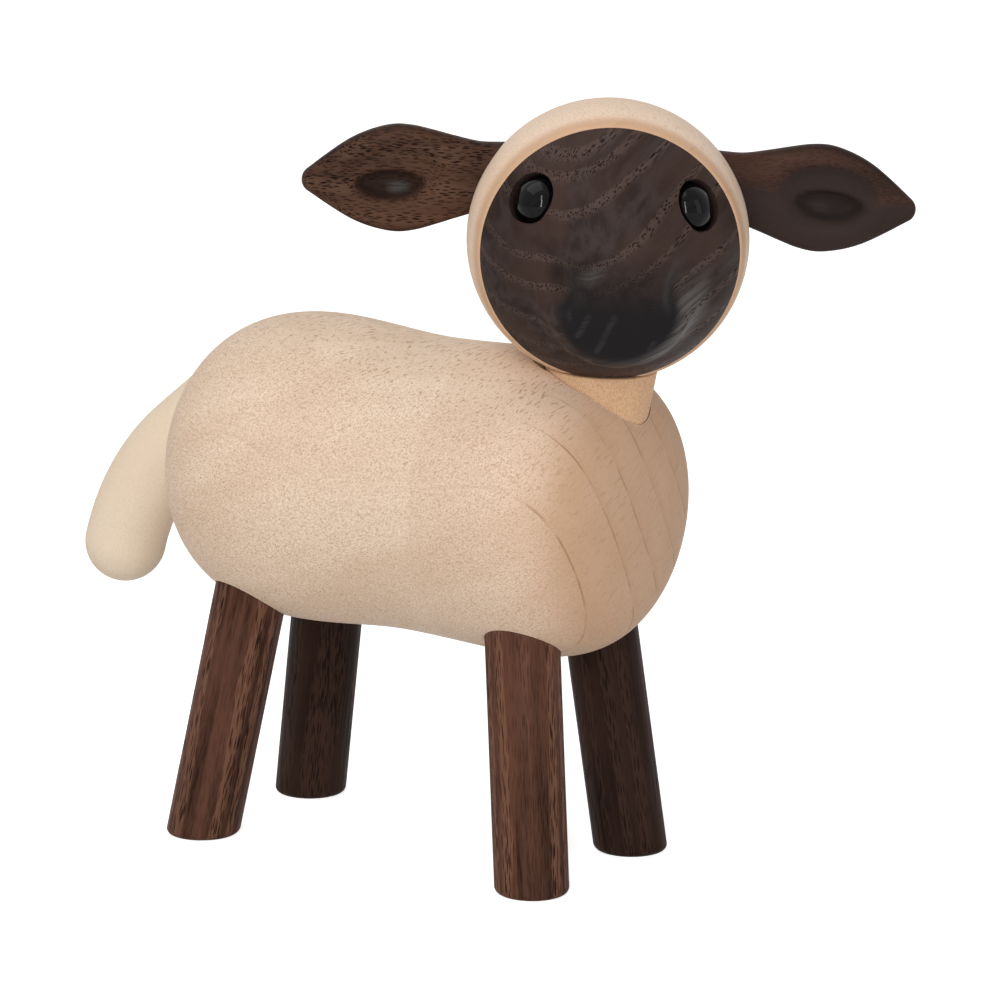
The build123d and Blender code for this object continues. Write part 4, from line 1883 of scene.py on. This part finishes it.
EAR_OAK = OakFinish(
    "ear_oak",
    dark=tone(40, 26, 20),
    mid=tone(64, 43, 34),
    warm=tone(78, 52, 40),
    pore=tone(14, 9, 7),
    glint=tone(116, 86, 70),
    wear_and_shade=tone(38, 26, 22),
    ring_radii=(16.0, 19.0, 22.5, 26.0, 30.0, 33.5),
    band_width=1.8,
    pore_length=1.3,
    pore_width=0.24,
    scatter=0.6,
    streak_scale=0.9,
    glint_strength=0.35,
)
# Painted shade: a copy of the ear oak for the sheep's left ear, whose hollow faces away from the light, with
# the hollow's shade painted in.
SHADED_EAR_OAK = OakFinish(
    "shaded_ear_oak",
    dark=tone(48, 34, 29),
    mid=tone(64, 45, 38),
    warm=tone(80, 54, 43),
    pore=tone(20, 13, 10),
    glint=tone(104, 78, 64),
    wear_and_shade=tone(53, 43, 41),
    ring_radii=(16.0, 19.0, 33.5),
    band_width=1.2,
    pore_strength=0.7,
    pore_length=1.0,
    scatter=0.25,
    streak_scale=0.35,
)
LEG_OAK = OakFinish(
    "leg_oak",
    dark=tone(38, 21, 15),
    mid=tone(82, 52, 41),
    warm=tone(94, 61, 48),
    pore=tone(24, 14, 10),
    glint=tone(142, 104, 84),
    wear_and_shade=tone(48, 29, 23),
    ring_radii=LEG_RINGS,
    band_width=1.6,
    pore_strength=0.65,
    scatter=0.2,
    streak_scale=0.95,
    streak_length=0.025,
    wander=1.6,
)
# Painted shade: a darker copy of the leg oak for the two far legs under the body.
SHADED_LEG_OAK = OakFinish(
    "shaded_leg_oak",
    dark=tone(20, 12, 9),
    mid=tone(44, 29, 24),
    warm=tone(52, 35, 29),
    pore=tone(16, 10, 8),
    glint=tone(72, 52, 42),
    wear_and_shade=tone(30, 20, 16),
    ring_radii=LEG_RINGS,
    band_width=1.6,
    pore_strength=0.5,
    streak_scale=0.8,
    streak_length=0.025,
    wander=1.6,
)
EYE_BEAD = BeadFinish("eye_bead", (0.002, 0.002, 0.0025), haze=(0.005, 0.005, 0.006))
DOWEL_WOOD = DowelFinish("dowel_wood", tone(205, 176, 140), tone(186, 152, 114))
HIDDEN_PINS = ("neck_peg", "face_dowel", "left_ear_dowel", "right_ear_dowel")


def main() -> None:
    """Build every piece, the studio and the camera."""
    logging.basicConfig(level=logging.INFO, format="%(message)s")
    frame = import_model()
    bpy.context.scene.view_settings.view_transform = "Standard"
    effects = WoodEffects()
    stance = Stance()
    Viewpoint().build()
    Studio().build()
    cream = CREAM_MAPLE.material(effects)
    legs = Legs(stance)
    legs.build(LEG_OAK.material(effects), SHADED_LEG_OAK.material(effects))
    Barrel(stance, legs).build(BODY_MAPLE.material(effects))
    Neck(stance).build(NECK_MAPLE.material(effects))
    Tail(stance).build(cream)
    head = Head(stance)
    head.build_ball(BALL_MAPLE.material(effects))
    head.build_face(FACE_OAK.material(effects))
    bead = EYE_BEAD.material()
    ears = Ears(stance)
    ears.build(Side.RIGHT, EAR_OAK.material(effects))
    # The left ear takes the copy with painted shade.
    ears.build(Side.LEFT, SHADED_EAR_OAK.material(effects))
    for side in Side:
        head.build_eye(side, bead)
    pin_wood = DOWEL_WOOD.material()
    for name in HIDDEN_PINS:
        node = frame["nodes"][name]
        node.data.materials.clear()
        node.data.materials.append(pin_wood)


if __name__ == "__main__":
    main()
